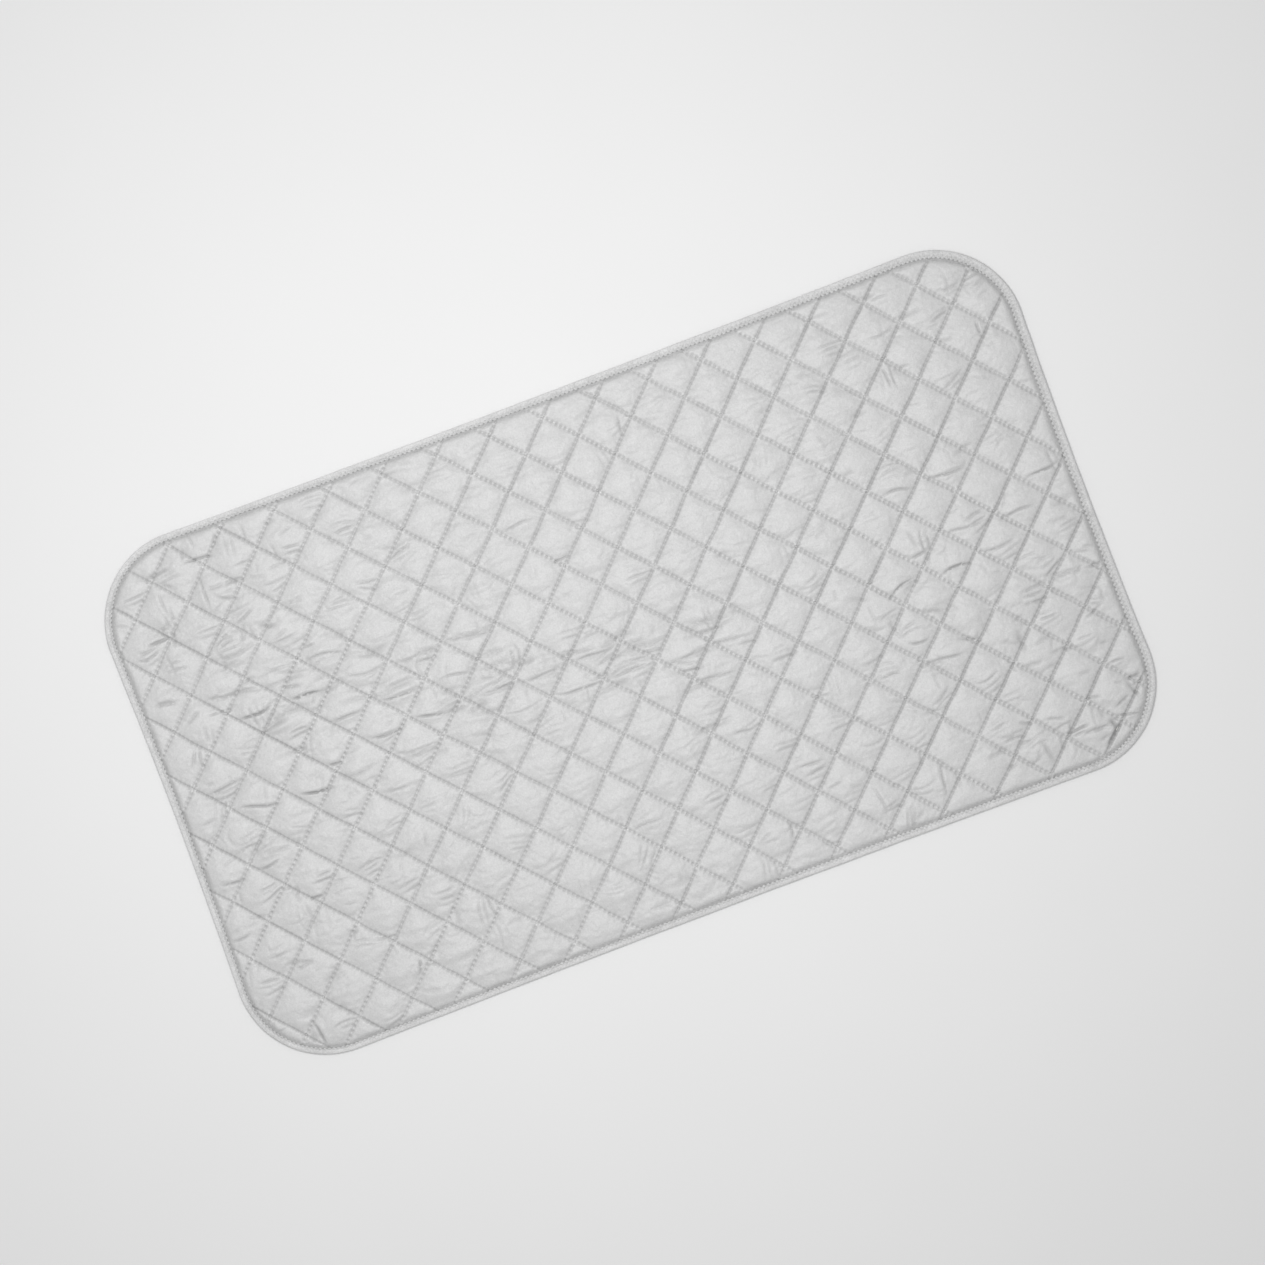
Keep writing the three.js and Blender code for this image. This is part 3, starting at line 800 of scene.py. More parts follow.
def tape_material():
    """Woven tape, with painted shade at its needle holes and in its weave, a painted shadow along its inner
    edge, and painted light on its rounded outer fold.
    """
    material, tree, shader, place = new_material("Woven binding tape", Specular_IOR_Level=0.3)
    weave = place_group(tree, "Plain weave", Vector=place, Pitch=0.5)
    zigzags, inset, _ = split(tree, attribute(tree, "edge"))
    holes = zigzag_holes(tree, zigzags, inset)
    # Painted shade in the gaps of the weave and at the zigzag's needle holes
    dark = calc(tree, "MULTIPLY_ADD", weave.outputs["Gaps"], 0.16, calc(tree, "MULTIPLY", holes, 0.36))
    ragged = calc(tree, "MULTIPLY_ADD", noise(tree, place, 2.6, 2.0), 2.0, -1.0)
    # Painted shadow along the tape's inner edge, where the face cloth dips beside it
    inner_edge_shadow = fade(tree, calc(tree, "ADD", inset, ragged), 6.6, 8.2)
    dark = calc(tree, "MULTIPLY_ADD", inner_edge_shadow, 0.16, dark)
    tone = darkened(tree, cloth_tone(tree, place, 0.05, 0.10, 0.24), dark)
    # Painted light on the tape's rounded outer fold, which curves away from the lamp, more at the left
    to_left = fade(tree, split(tree, place)[0], 380, -380)
    rim_painted_light = calc(tree, "MULTIPLY", fade(tree, inset, 2.4, 0.4), varied(tree, to_left, 0.08, 0.05))
    tone = calc(tree, "ADD", tone, rim_painted_light)
    rough = varied(tree, noise(tree, place, 1.5), 0.2, 0.68)
    normal = bumped(tree, weave.outputs["Height"], 0.08)
    normal = bumped(tree, holes, -0.2, normal)
    give_looks(tree, shader, colours().tape, tone, rough, normal)
    return material


def thread_material():
    """Twisted sewing thread, with painted shade in the grooves between its plies."""
    material, tree, shader, place = new_material("Sewing thread", Specular_IOR_Level=0.4)
    x, y, z = split(tree, place)
    slant = calc(tree, "ADD", calc(tree, "ADD", x, y), calc(tree, "MULTIPLY", z, 2.0))
    ply = varied(tree, calc(tree, "SINE", calc(tree, "MULTIPLY", slant, 9.0)), 0.5, 0.5)
    tone = cloth_tone(tree, place, 0.02, 0.08, 0.12)
    # Painted shade in the grooves between the plies
    tone = calc(tree, "MULTIPLY", tone, varied(tree, ply, 0.14, 0.90))
    rough = varied(tree, ply, 0.15, 0.5)
    give_looks(tree, shader, colours().thread, tone, rough, bumped(tree, ply, 0.06))
    return material


def wadding_material():
    """Matted felt fibres."""
    material, tree, shader, place = new_material("Needled felt wadding", Specular_IOR_Level=0.1)
    tone = cloth_tone(tree, place, 0.04, 0.08, 0.12)
    fibres = noise(tree, place, 0.5, 6.0, 0.75)
    rough = varied(tree, fibres, 0.1, 0.88)
    give_looks(tree, shader, colours().wadding, tone, rough, bumped(tree, fibres, 0.5))
    return material


def magnet_material():
    """Nickel plate with fine scuffs."""
    material, tree, shader, place = new_material("Nickel plate", Metallic=1.0)
    scuffs = noise(tree, place, 0.7, 5.0, 0.7)
    tone = varied(tree, scuffs, 0.22, 0.88)
    rough = varied(tree, scuffs, 0.25, 0.16)
    give_looks(tree, shader, colours().magnet, tone, rough, bumped(tree, scuffs, 0.02))
    return material


def floor_material():
    """A pale matt floor."""
    material, tree, shader, place = new_material("Pale floor", Specular_IOR_Level=0.2)
    tone = varied(tree, noise(tree, place, 160, 2.0), 0.02, 0.99)
    rough = varied(tree, noise(tree, place, 40, 2.0), 0.1, 0.75)
    give_looks(tree, shader, colours().floor, tone, rough)
    return material


def shared(maker):
    """The material that this function makes, made once."""
    name = maker.__name__
    found = [m for m in bpy.data.materials if m.get("made_by") == name]
    if found:
        return found[0]
    material = maker()
    material["made_by"] = name
    return material


# Pieces

TRIAL_GRID_STEPS = 14
FACE_GRID_STEPS = 36
BACKING_GRID_STEPS = 10
WADDING_GRID_STEPS = 9
CROWDING = 0.35
PLY_REACH = 0.003  # how far in from the pad's edge the cloths inside the binding end
FACE_SEAM_Z = 0.0033
BACKING_SEAM_Z = 0.0012
BACKING_FLAT_Z = 0.00008  # where the pad's weight presses the backing flat
BACKING_LOWEST = 0.00005  # how far the backing stays above what the pad lies on
FLAT_FROM = 0.42  # the backing lies flat where the softened dome over a diamond is higher than this
BACKING_PUCKER = 0.10  # how strong the puckers are below, as a share of the full ones
TAPE_HOLDS = 0.0005  # how far past its inner edge the tape holds the face cloth down
FREE_REACH = 0.004  # how much further in the face cloth is free
RIPPLE_DOME = 0.25  # ripples fade toward the seams from where the dome over a diamond is this high
TUCK_DOME = 0.05  # the same for tucks
FACE_PUCKER = 0.20  # how strong the puckers are on the face, as a share of the full ones
# From the seam to the highest part of the puckers, and how wide they are, in millimetres
PUCKER_AWAY = 1.6
PUCKER_WIDTH = 1.2

# Tucks in the face cloth where the pad shows them: middle x and y and half length in millimetres, how
# deep as a share of the deepest, and the turn in degrees.
TUCKS = [
    (-326, 65, 15, 1.0, 6), (-279, 65, 14, 1.0, -8), (-279, 117, 13, 0.5, 0), (-252, 93, 18, 0.6, -3),
    (-298, 94, 17, 0.4, -2), (-353, 89, 9, 0.5, -8), (-225, 65, 15, 0.4, -6), (-170, 57, 10, 0.6, 2),
    (-253, 34, 14, 0.7, 0), (-203, 35, 17, 0.8, -4), (-151, 36, 15, 0.6, -4), (-225, 8, 15, 0.8, 0),
    (-183, 9, 14, 0.8, -8), (-375, 15, 17, 0.7, 4), (-352, -12, 17, 0.8, -12), (-300, -17, 15, 1.0, -8),
    (-277, -1, 6, 0.8, 0), (-203, -15, 17, 0.5, -2), (-233, -41, 13, 0.6, 2), (-396, -67, 10, 0.7, 4),
    (-362, -63, 10, 0.7, 3), (-332, -103, 6, 0.8, 0), (-407, -114, 9, 0.6, 4), (-380, -140, 10, 0.5, -5),
    (-121, 60, 15, 0.5, -3), (-122, 10, 18, 0.7, -2), (-79, 9, 19, 0.65, -1), (-31, 10, 17, 0.65, 2),
    (-53, 140, 14, 0.6, 0), (-28, 98, 8, 0.7, -4), (21, 0, 13, 0.5, -2), (-52, -16, 22, 0.7, -3),
    (-8, -16, 18, 0.65, 2), (-105, -14, 20, 0.4, 0), (20, -6, 9, 0.5, 0), (69, -7, 9, 0.6, 5),
    (64, -46, 17, 0.6, -4), (68, -101, 9, 0.6, -4), (-38, -147, 15, 0.5, 6), (112, -149, 13, 0.6, 2),
    (269, 50, 14, 0.7, -5), (315, 49, 17, 0.7, 0), (395, 21, 15, 0.8, 8), (303, 183, 13, 0.5, 6),
    (315, -1, 19, 0.6, 0), (362, -4, 16, 0.7, 0), (268, -10, 8, 0.7, 4), (243, -30, 15, 0.8, 18),
    (294, -31, 14, 0.9, 3), (335, -27, 16, 0.6, 0), (240, -81, 9, 0.7, -4), (258, -102, 15, 0.7, 0),
    (288, -190, 11, 0.6, 3), (331, -194, 10, 0.5, 8), (356, -207, 11, 0.6, -4), (371, -215, 13, 0.9, 46),
    (390, -204, 12, 0.7, -6), (-329, 180, 16, 0.6, 86), (-367, 182, 13, 0.5, 88), (-380, 130, 10, 0.5, 86),
    (62, 190, 9, 0.6, 88), (-371, -216, 12, 0.8, -74), (-269, -193, 7, 0.7, 76), (217, -201, 16, 0.6, 76),
    (160, -200, 15, 0.5, -86), (385, 157, 8, 0.7, -86), (77, -196, 8, 0.6, 84),
]
# Shape of a tuck, in millimetres
TUCK_DEPTH = 0.8
TUCK_WIDTH = 1.4  # of a listed one
TUCK_ROLL = 0.60  # how high the cloth rolls up beside it
TUCK_MARGIN = 9.0  # how far round it the cloth is moved
# From the middle of a tuck to that of the roll beside it, and the roll's width, in widths of the tuck
ROLL_AWAY = 2.2
ROLL_WIDTH = 1.4
SMALL_TUCKS = 300
CREASES = 900
FROM_EDGE = 12  # how far in from the pad's edge small tucks and creases start, in millimetres
PLEATED_SHARE = 0.7  # of the diamonds that have a few pleats side by side
PLEAT_INSET = 0.014  # how far in from the pad's edge pleats start
SOFT_FOLDS = 60
# The soft folds lie along a line from the left end to a little past the middle of the pad, in millimetres.
FOLDED_FROM = np.array([-350.0, 78.0])
FOLDED_TO = np.array([90.0, -18.0])
FOLDED_REACH = 36.0


def folded_at(x, y):
    """1 on the line of soft folds, and less with distance from it."""
    line = FOLDED_TO - FOLDED_FROM
    share = np.clip((np.array([x, y]) - FOLDED_FROM) @ line / (line @ line), 0, 1)
    away = np.linalg.norm(np.array([x, y]) - FOLDED_FROM - share * line)
    return math.exp(-((away / FOLDED_REACH) ** 2))


def crumpled_at(x, y):
    """How much stronger than usual the small tucks and creases are at a place given in millimetres: more
    at both ends, at the back left and front right, and along the line of soft folds, and less at the
    middle of the back."""
    along, across = x * MM / (PAD_LENGTH / 2), y * MM / (PAD_WIDTH / 2)
    smoother_back = 0.3 * max(across, 0) * (1 - along**2)
    plain = 0.80 + 0.65 * along**2 + 1.15 * max(-along * across, 0) - smoother_back
    return plain + 0.35 * folded_at(x, y)


def scattered_tucks(rng, count, along_share, along_turn, across_turn, depths, halves, widths):
    """Tucks anywhere on the pad: this share of them runs along it and the rest across. The turns are
    given as a mean and a spread in degrees, and depths, half lengths and widths as ranges."""
    half_pad = [PAD_LENGTH / MM / 2 - FROM_EDGE, PAD_WIDTH / MM / 2 - FROM_EDGE]
    found = []
    for _ in range(count):
        x, y = rng.uniform(-1, 1, 2) * half_pad
        turn = rng.normal(*along_turn) if rng.random() < along_share else rng.normal(*across_turn)
        depth = crumpled_at(x, y) * rng.uniform(*depths)
        found.append((x, y, rng.uniform(*halves), depth, turn, rng.uniform(*widths)))
    return found


def pleats(rng):
    """Two or three pleats side by side in most diamonds, near one of the lower or upper seams."""
    low, high = lattice_range()
    diamonds = [(first, second) for first in range(low[0], high[0]) for second in range(low[1], high[1])]
    found = []
    for diamond in diamonds:
        beside = 0.76 if rng.random() < 0.7 else 0.3
        middle = place_of(np.array(diamond) + [rng.uniform(0.25, 0.75), beside])
        if inset_of(middle) < PLEAT_INSET or rng.random() > PLEATED_SHARE:
            continue
        x, y = middle / MM
        turn = rng.normal(6, 8) if rng.random() < 0.8 else rng.normal(84, 8)
        share = min(crumpled_at(x, y) * rng.uniform(0.25, 0.9), 0.85)
        beside_way = np.array([-math.sin(math.radians(turn)), math.cos(math.radians(turn))])
        apart = rng.uniform(4.2, 6.2) * beside_way
        for number in range(rng.integers(2, 4)):
            place = np.array([x, y]) + (number - 1) * apart + rng.uniform(-0.7, 0.7, 2)
            half = rng.uniform(8, 15)
            depth = share * rng.uniform(0.5, 1)
            found.append((*place, half, depth, turn + rng.normal(0, 5), rng.uniform(1.1, 1.6)))
    return found


def soft_folds(rng):
    """Longer, wider folds along the line of soft folds."""
    found = []
    for _ in range(SOFT_FOLDS):
        x, y = FOLDED_FROM + rng.random() * (FOLDED_TO - FOLDED_FROM) + [0, rng.normal(0, 24)]
        half = rng.uniform(12, 26)
        found.append((x, y, half, rng.uniform(0.35, 0.85), rng.normal(2, 6), rng.uniform(2.0, 3.4)))
    return found


def all_tucks():
    """The listed tucks and the scattered ones: middle x and y, half length, depth as a share of the
    deepest, turn in degrees, and width. Lengths are in millimetres."""
    rng = np.random.default_rng(8)
    small = scattered_tucks(
        rng, SMALL_TUCKS, along_share=0.72, along_turn=(0, 9), across_turn=(84, 10),
        depths=(0.12, 0.62), halves=(5, 15), widths=(1.2, 2.6),
    )
    creases = scattered_tucks(
        rng, CREASES, along_share=0.78, along_turn=(5, 12), across_turn=(80, 18),
        depths=(0.10, 0.42), halves=(4, 11), widths=(1.1, 2.0),
    )
    scattered = small + creases + pleats(rng) + soft_folds(rng)
    listed = [(x, y, 1.1 * half, 1.35 * share, turn, TUCK_WIDTH) for x, y, half, share, turn in TUCKS]
    return listed + scattered


def tucks_at(points):
    """The height change that the tucks make, and each point's distance from its nearest tuck and that
    tuck's strength there. The distance is as if all tucks were as wide as the listed ones."""
    height = np.zeros(len(points))
    nearest = np.full(len(points), TUCK_MARGIN)
    strength = np.zeros(len(points))
    by_x = np.argsort(points[:, 0])
    sorted_x = points[by_x, 0] / MM
    for x, y, half, share, turn, width in all_tucks():
        reach = half + TUCK_MARGIN
        first, last = np.searchsorted(sorted_x, [x - reach, x + reach])
        near = by_x[first:last]
        near = near[np.abs(points[near, 1] / MM - y) < reach]
        offset = points[near] / MM - np.array([x, y])
        angle = math.radians(turn)
        along = offset @ np.array([math.cos(angle), math.sin(angle)])
        across = offset @ np.array([-math.sin(angle), math.cos(angle)])
        # A slight wave and bow, different for each tuck
        across = across + 1.0 * np.sin(along * 0.15 + x) - 0.008 * along**2 * math.sin(x + y)
        taper = np.clip(1.15 - (along / half) ** 2, 0, 1) * share
        groove = -TUCK_DEPTH * np.exp(-((across / width) ** 2))
        roll = TUCK_ROLL * np.exp(-(((across / width - ROLL_AWAY) / ROLL_WIDTH) ** 2))
        height[near] += taper * (groove + roll)
        distance = np.abs(across * TUCK_WIDTH / width)
        closer = (distance < nearest[near]) & (taper > 0)
        nearest[near[closer]] = distance[closer]
        strength[near[closer]] = taper[closer]
    return MM * height, nearest, strength


def seams_at(steps, places):
    """How far the stitches let the cloth up beside the seams: 0 on a seam and 1 well away from it. The
    rising seams are pulled tighter to the right, and the falling ones to the left."""
    side = np.linalg.norm(lattice()[1])
    away = np.abs(steps - np.round(steps)) * side
    along_pad = places[:, :1] / (PAD_LENGTH / 2)
    tightness = np.array([0.70, 0.90]) + along_pad * np.array([-0.05, 0.25])
    reach = sizes().seam_reach * (1 + along_pad * np.array([0.35, -0.05]))
    return 1 - (tightness * np.exp(-((away / reach) ** 2))).max(1)


def puckers_at(steps):
    """Small waves beside the seams, down at each needle hole and up between two."""
    count = sizes().stitches_per_side
    side = np.linalg.norm(lattice()[1])
    height = np.zeros(len(steps))
    for across, along in ((0, 1), (1, 0)):
        away = np.abs(steps[:, across] - np.round(steps[:, across])) * side / MM
        wave = -np.cos(2 * math.pi * count * steps[:, along])
        height += wave * np.exp(-(((away - PUCKER_AWAY) / PUCKER_WIDTH) ** 2))
    return MM * height


def ripples_at(points):
    """Height of the shallow ripples in the cloth, and of longer ones that run along the pad and are
    stronger in places. The factors are millimetres, and the sizes of the noise are metres."""
    ripple = 0.26 * soft_noise(points * [1, 1.9], 0.0075, 12) + 0.16 * soft_noise(points, 0.0042, 13)
    crumpled = np.clip(0.7 + soft_noise(points, 0.09, 16), 0.2, 1.6)
    bent = points * [0.30, 1] + 0.005 * soft_noise(points, 0.03, 17)[:, None]
    ripple += 0.55 * crumpled * soft_noise(bent, 0.0062, 18)
    return MM * ripple


class IRONINGPAD_OT_face(bpy.types.Operator):
    """Make the face cloth, puffed between its seams, with its puckers and tucks"""

    bl_idname = "ironing_pad.face"
    bl_label = "Face Cloth"

    def execute(self, context):
        trial = QuiltedGrid(TRIAL_GRID_STEPS, PLY_REACH)
        grid = QuiltedGrid(FACE_GRID_STEPS, PLY_REACH, CROWDING)
        beyond_tape = grid.inset - tape_width_at(grid.flat)
        free = eased(np.clip((beyond_tape - TAPE_HOLDS) / FREE_REACH, 0, 1))
        puff = read_between(trial, puffed(trial), grid.steps)
        height = puff * uneven(grid.flat, 0.12, 0.045, 11) * free
        height += self.seam_height(grid) * free
        height += ripples_at(grid.flat) * np.clip(dome(grid.steps) / RIPPLE_DOME, 0, 1) * free
        height += self.pucker_height(grid) * free
        tuck_height, tuck_distance, tuck_strength = tucks_at(grid.flat)
        height += tuck_height * free * np.clip(dome(grid.steps) / TUCK_DOME, 0, 1)
        points = np.column_stack([drawn_in(grid.flat), FACE_SEAM_Z + height])
        piece = new_piece("quilted_face", points, grid.faces, shared(face_material))
        give_steps(piece, grid)
        # How strongly the face material paints shade into each tuck and bumps it
        shown = 0.9 * tuck_strength**1.5 * free
        give_numbers(piece, "tuck", np.column_stack([tuck_distance, shown, beyond_tape / MM]))
        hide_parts("face_cloth")
        return {"FINISHED"}

    def seam_height(self, grid):
        """How high the cloth stands beside the seams, from how deep the stitches pull it in."""
        depth = sizes().seam_depth * uneven(grid.flat, 0.3, 0.03, 15)
        return depth * seams_at(grid.steps, grid.flat)

    def pucker_height(self, grid):
        """The puckers' height, none on the seam itself, where the cloth is sewn down."""
        strength = FACE_PUCKER * uneven(grid.flat, 0.6, 0.02, 14)
        return puckers_at(grid.steps) * strength * ~grid.on_seam()


class IRONINGPAD_OT_backing(bpy.types.Operator):
    """Make the backing cloth, which the pad's weight presses flat between its seams"""

    bl_idname = "ironing_pad.backing"
    bl_label = "Backing Cloth"

    def execute(self, context):
        grid = QuiltedGrid(BACKING_GRID_STEPS, PLY_REACH)
        free = np.clip((grid.inset - sizes().binding_width) / 0.005, 0, 1)
        pressed = eased(np.clip(dome(grid.steps) ** 0.8 / FLAT_FROM, 0, 1))
        height = BACKING_SEAM_Z - (BACKING_SEAM_Z - BACKING_FLAT_Z) * pressed * free
        height -= BACKING_PUCKER * puckers_at(grid.steps) * free * (1 - pressed)
        points = np.column_stack([drawn_in(grid.flat), np.maximum(height, BACKING_LOWEST)])
        faces = grid.faces[:, ::-1]
        piece = new_piece("quilted_backing", points, faces, shared(backing_material))
        give_steps(piece, grid)
        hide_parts("backing_cloth")
        return {"FINISHED"}


UNDER_FACE = 0.0004  # how far below the face cloth the wadding ends
SEAM_SQUEEZE = 0.0006  # how far below the seams it ends at most
OVER_BACKING = 0.0005  # how far above the backing's seams it starts
LINES_NEAR = 3  # how many grid lines of the face cloth to each side count as near
NO_FACE = 1.0  # a height that stands for no cloth there


class IRONINGPAD_OT_wadding(bpy.types.Operator):
    """Make the wadding that fills the space between the two cloths"""

    bl_idname = "ironing_pad.wadding"
    bl_label = "Wadding"

    def execute(self, context):
        grid = QuiltedGrid(WADDING_GRID_STEPS, PLY_REACH, CROWDING)
        flat = drawn_in(grid.flat)
        count = len(flat)
        top = np.maximum(self.face_over(grid) - UNDER_FACE, FACE_SEAM_Z - SEAM_SQUEEZE)
        upper = np.column_stack([flat, top])
        lower = np.column_stack([flat, np.full(count, BACKING_SEAM_Z + OVER_BACKING)])
        rim = grid.rim()
        wall = [[a + count, b + count, b, a] for a, b in zip(rim, rim[1:] + rim[:1])]
        faces = (grid.faces + count).tolist() + grid.faces[:, ::-1].tolist() + wall
        points = np.vstack([lower, upper])
        piece = new_piece("wadding_batt", points, faces, shared(wadding_material))
        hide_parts("wadding")
        return {"FINISHED"}

    def face_over(self, grid):
        """The lowest that the face cloth comes near each point of the wadding's own, coarser grid."""
        face = bpy.data.objects["quilted_face"].data
        found = np.empty(len(face.vertices) * 3)
        face.vertices.foreach_get("co", found)
        fine = QuiltedGrid(FACE_GRID_STEPS, PLY_REACH, CROWDING)
        heights = np.full(fine.index.shape, NO_FACE)
        heights[fine.used] = found.reshape(-1, 3)[:, 2]
        spread = np.pad(heights, LINES_NEAR, constant_values=NO_FACE)
        rows, columns = heights.shape
        shifts = range(2 * LINES_NEAR + 1)
        lowest = np.min([spread[a:a + rows, b:b + columns] for a in shifts for b in shifts], axis=0)
        ratio = FACE_GRID_STEPS // WADDING_GRID_STEPS
        over = lowest[::ratio, ::ratio][grid.used]
        return np.where(over > NO_FACE / 2, FACE_SEAM_Z, over)


# Stitches

STITCH_SIDES = 5
UNDER_TAPE = 0.0012  # how far the rows of stitches run on under the tape
TURN_RISE = 0.0003  # a stitch that runs less than this across the pad is a turn
# Along a stitch: how far, how high over the seam in thread radii, and how thick in thread radii
STITCH_RINGS = [(0.03, -1.5, 0.6), (0.2, 0.0, 0.95), (0.5, 0.45, 1.1), (0.8, 0.0, 0.95), (0.97, -1.5, 0.6)]


def stitch_mesh(starts, ends, up, radius):
    """Points and faces of one short arched thread from each start to its end. up is 1 or -1, and radius
    is one number or one for each stitch."""
    run = ends - starts
    radius = np.broadcast_to(radius, len(run))[:, None]
    flat_run = run[:, :2] / np.linalg.norm(run[:, :2], axis=1, keepdims=True)
    side = np.column_stack([-flat_run[:, 1], flat_run[:, 0], np.zeros(len(run))])
    rings = []
    for share, lift, thick in STITCH_RINGS:
        middle = starts + run * share + np.array([0, 0, up * lift]) * radius
        for corner in range(STITCH_SIDES):
            angle = 2 * math.pi * (corner + 0.25) / STITCH_SIDES
            ray = math.cos(angle) * side + np.array([0, 0, math.sin(angle)])
            rings.append(middle + thick * radius * ray)
    points = np.stack(rings, 1)
    each = points.shape[1]
    pattern = []  # the faces of one stitch
    for ring in range(len(STITCH_RINGS) - 1):
        for corner in range(STITCH_SIDES):
            a = ring * STITCH_SIDES + corner
            b = ring * STITCH_SIDES + (corner + 1) % STITCH_SIDES
            pattern.append([a, b, b + STITCH_SIDES, a + STITCH_SIDES])
    last = each - STITCH_SIDES
    caps = [list(range(STITCH_SIDES))[::-1], list(range(last, each))]
    faces = []
    for number in range(len(points)):
        base = number * each
        faces += [[base + i for i in face] for face in pattern + caps]
    return points.reshape(-1, 3), faces


def row_stitches(row):
    """The needle holes at both ends of each stitch of one row of zigzag, on the flat pattern. Columns and
    rows count half diamonds, and a row turns at every crossing above and below it."""
    s = sizes()
    low, high = lattice_range()
    reach = int(np.abs([low, high]).max()) * 2
    gap = 2 * s.turn_gap / s.diamond_width
    dash = s.turn_stitch / s.diamond_length
    turns = []
    for column in range(-reach, reach + 1):
        if (column + row) % 2 == 0:
            turns += [(column - dash, row + gap), (column + dash, row + gap)]
        else:
            turns += [(column, row + 1 - gap)]
    turns = np.array(turns)
    holes = []
    for start, end in zip(turns, turns[1:]):
        is_turn_stitch = abs(end[1] - start[1]) < 1e-9
        parts = 1 if is_turn_stitch else s.stitches_per_side
        holes += [start + (end - start) * part / parts for part in range(parts)]
    holes = np.array(holes)
    steps = np.column_stack([holes[:, 0] + holes[:, 1], holes[:, 0] - holes[:, 1]]) / 2
    places = place_of(steps)
    inside = inset_of(places) > s.binding_width - UNDER_TAPE
    both = inside[:-1] & inside[1:]
    return places[:-1][both], places[1:][both]


def quilting_rows():
    """Each needle thread's number, and the stitches of its row and of the short ends nearest to it."""
    low, high = lattice_range()
    reach = int(np.abs([low, high]).max()) * 2
    numbers = sorted(name[-2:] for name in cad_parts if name.startswith("quilting_needle_thread_"))
    middle = {}
    for number in numbers:
        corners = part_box("quilting_needle_thread_" + number)
        middle[number] = (corners[0][1] + corners[1][1]) / 2
    rows = {number: [] for number in numbers}
    for row in range(-reach, reach + 1):
        starts, ends = row_stitches(row)
        if len(starts):
            height = (starts[:, 1].min() + starts[:, 1].max()) / 2
            nearest = min(numbers, key=lambda number: abs(middle[number] - height))
            rows[nearest].append((starts, ends))
    return {number: [np.vstack(ends) for ends in zip(*found)] for number, found in rows.items()}


class IRONINGPAD_OT_quilting(bpy.types.Operator):
    """Make the quilting stitches: one thread on the face and one below for each row"""

    bl_idname = "ironing_pad.quilting"
    bl_label = "Quilting Stitches"

    def execute(self, context):
        layers = (
            ("quilting_needle_thread_", "quilting_stitches_", FACE_SEAM_Z, 1),
            ("quilting_bobbin_thread_", "under_stitches_", BACKING_SEAM_Z, -1),
        )
        for number, (starts, ends) in quilting_rows().items():
            radius = self.radius_of(starts, ends)
            for node, name, z, up in layers:
                places = [np.column_stack([drawn_in(p), np.full(len(p), z)]) for p in (starts, ends)]
                points, faces = stitch_mesh(*places, up, radius)
                piece = new_piece(name + number, points, faces, shared(thread_material))
                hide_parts(node + number)
        return {"FINISHED"}

    def radius_of(self, starts, ends):
        """The thread's radius in each stitch: falling stitches lie looser and wider to the right, and the
        turns between two sides are the loosest."""
        run = ends - starts
        level = np.abs(run[:, 1]) < TURN_RISE
        slope = -np.sign(run[:, 0] * run[:, 1]) * ~level
        along_pad = starts[:, 0] / (PAD_LENGTH / 2)
        slack = 0.3 * slope * np.clip(0.3 + along_pad, -0.2, 1) + 0.7 * level
        return sizes().thread_radius * (1 + slack)


# Binding


def edge_path(step):
    """Points of the flat pattern's edge at about this step, counterclockwise, the way in at each, and
    the distance run."""
    radius = sizes().corner_radius
    half_x, half_y = PAD_LENGTH / 2 - radius, PAD_WIDTH / 2 - radius
    arc = math.pi / 2 * radius
    total = 4 * (half_x + half_y + arc)
    count = int(round(total / step))
    run = np.arange(count) * total / count
    # Each corner's middle, and the straight side that runs up to it
    corners = [
        (half_x, -half_y, 2 * half_x), (half_x, half_y, 2 * half_y),
        (-half_x, half_y, 2 * half_x), (-half_x, -half_y, 2 * half_y),
    ]
    places = np.zeros((count, 2))
    inward = np.zeros((count, 2))
    start = 0.0
    for turn, (x, y, straight) in enumerate(corners):
        heading = turn * math.pi / 2
        ahead = np.array([math.cos(heading), math.sin(heading)])
        out = np.array([math.sin(heading), -math.cos(heading)])
        on_line = (run >= start) & (run < start + straight)
        back = (run[on_line] - start - straight)[:, None]
        places[on_line] = np.array([x, y]) + out * radius + ahead * back
        inward[on_line] = -out
        on_arc = (run >= start + straight) & (run < start + straight + arc)
        angle = heading - math.pi / 2 + (run[on_arc] - start - straight) / radius
        ray = np.column_stack([np.cos(angle), np.sin(angle)])
        places[on_arc] = np.array([x, y]) + radius * ray
        inward[on_arc] = -ray
        start += straight + arc
    return places, inward, run, total


FOLD_REACH = 3.5  # how far in from the edge the tape's rounded fold reaches, in millimetres
INNER_EDGE = 7  # from here in, also in millimetres, the tape's section wavers with its inner edge
STEPS_PER_ZIGZAG = 3
ZIGZAG_THREAD = 1.4  # the binding's thread is this many times as thick as the quilting's
ZIGZAG_Z = 0.0041
ZIGZAG_UNDER_Z = 0.0005


def narrowing_at(places):
    """How much of its flat part the tape gains or, where negative, lacks at places on its edge."""
    flat_part = sizes().binding_width - MM * FOLD_REACH
    return (tape_width_at(places) - sizes().binding_width) / flat_part


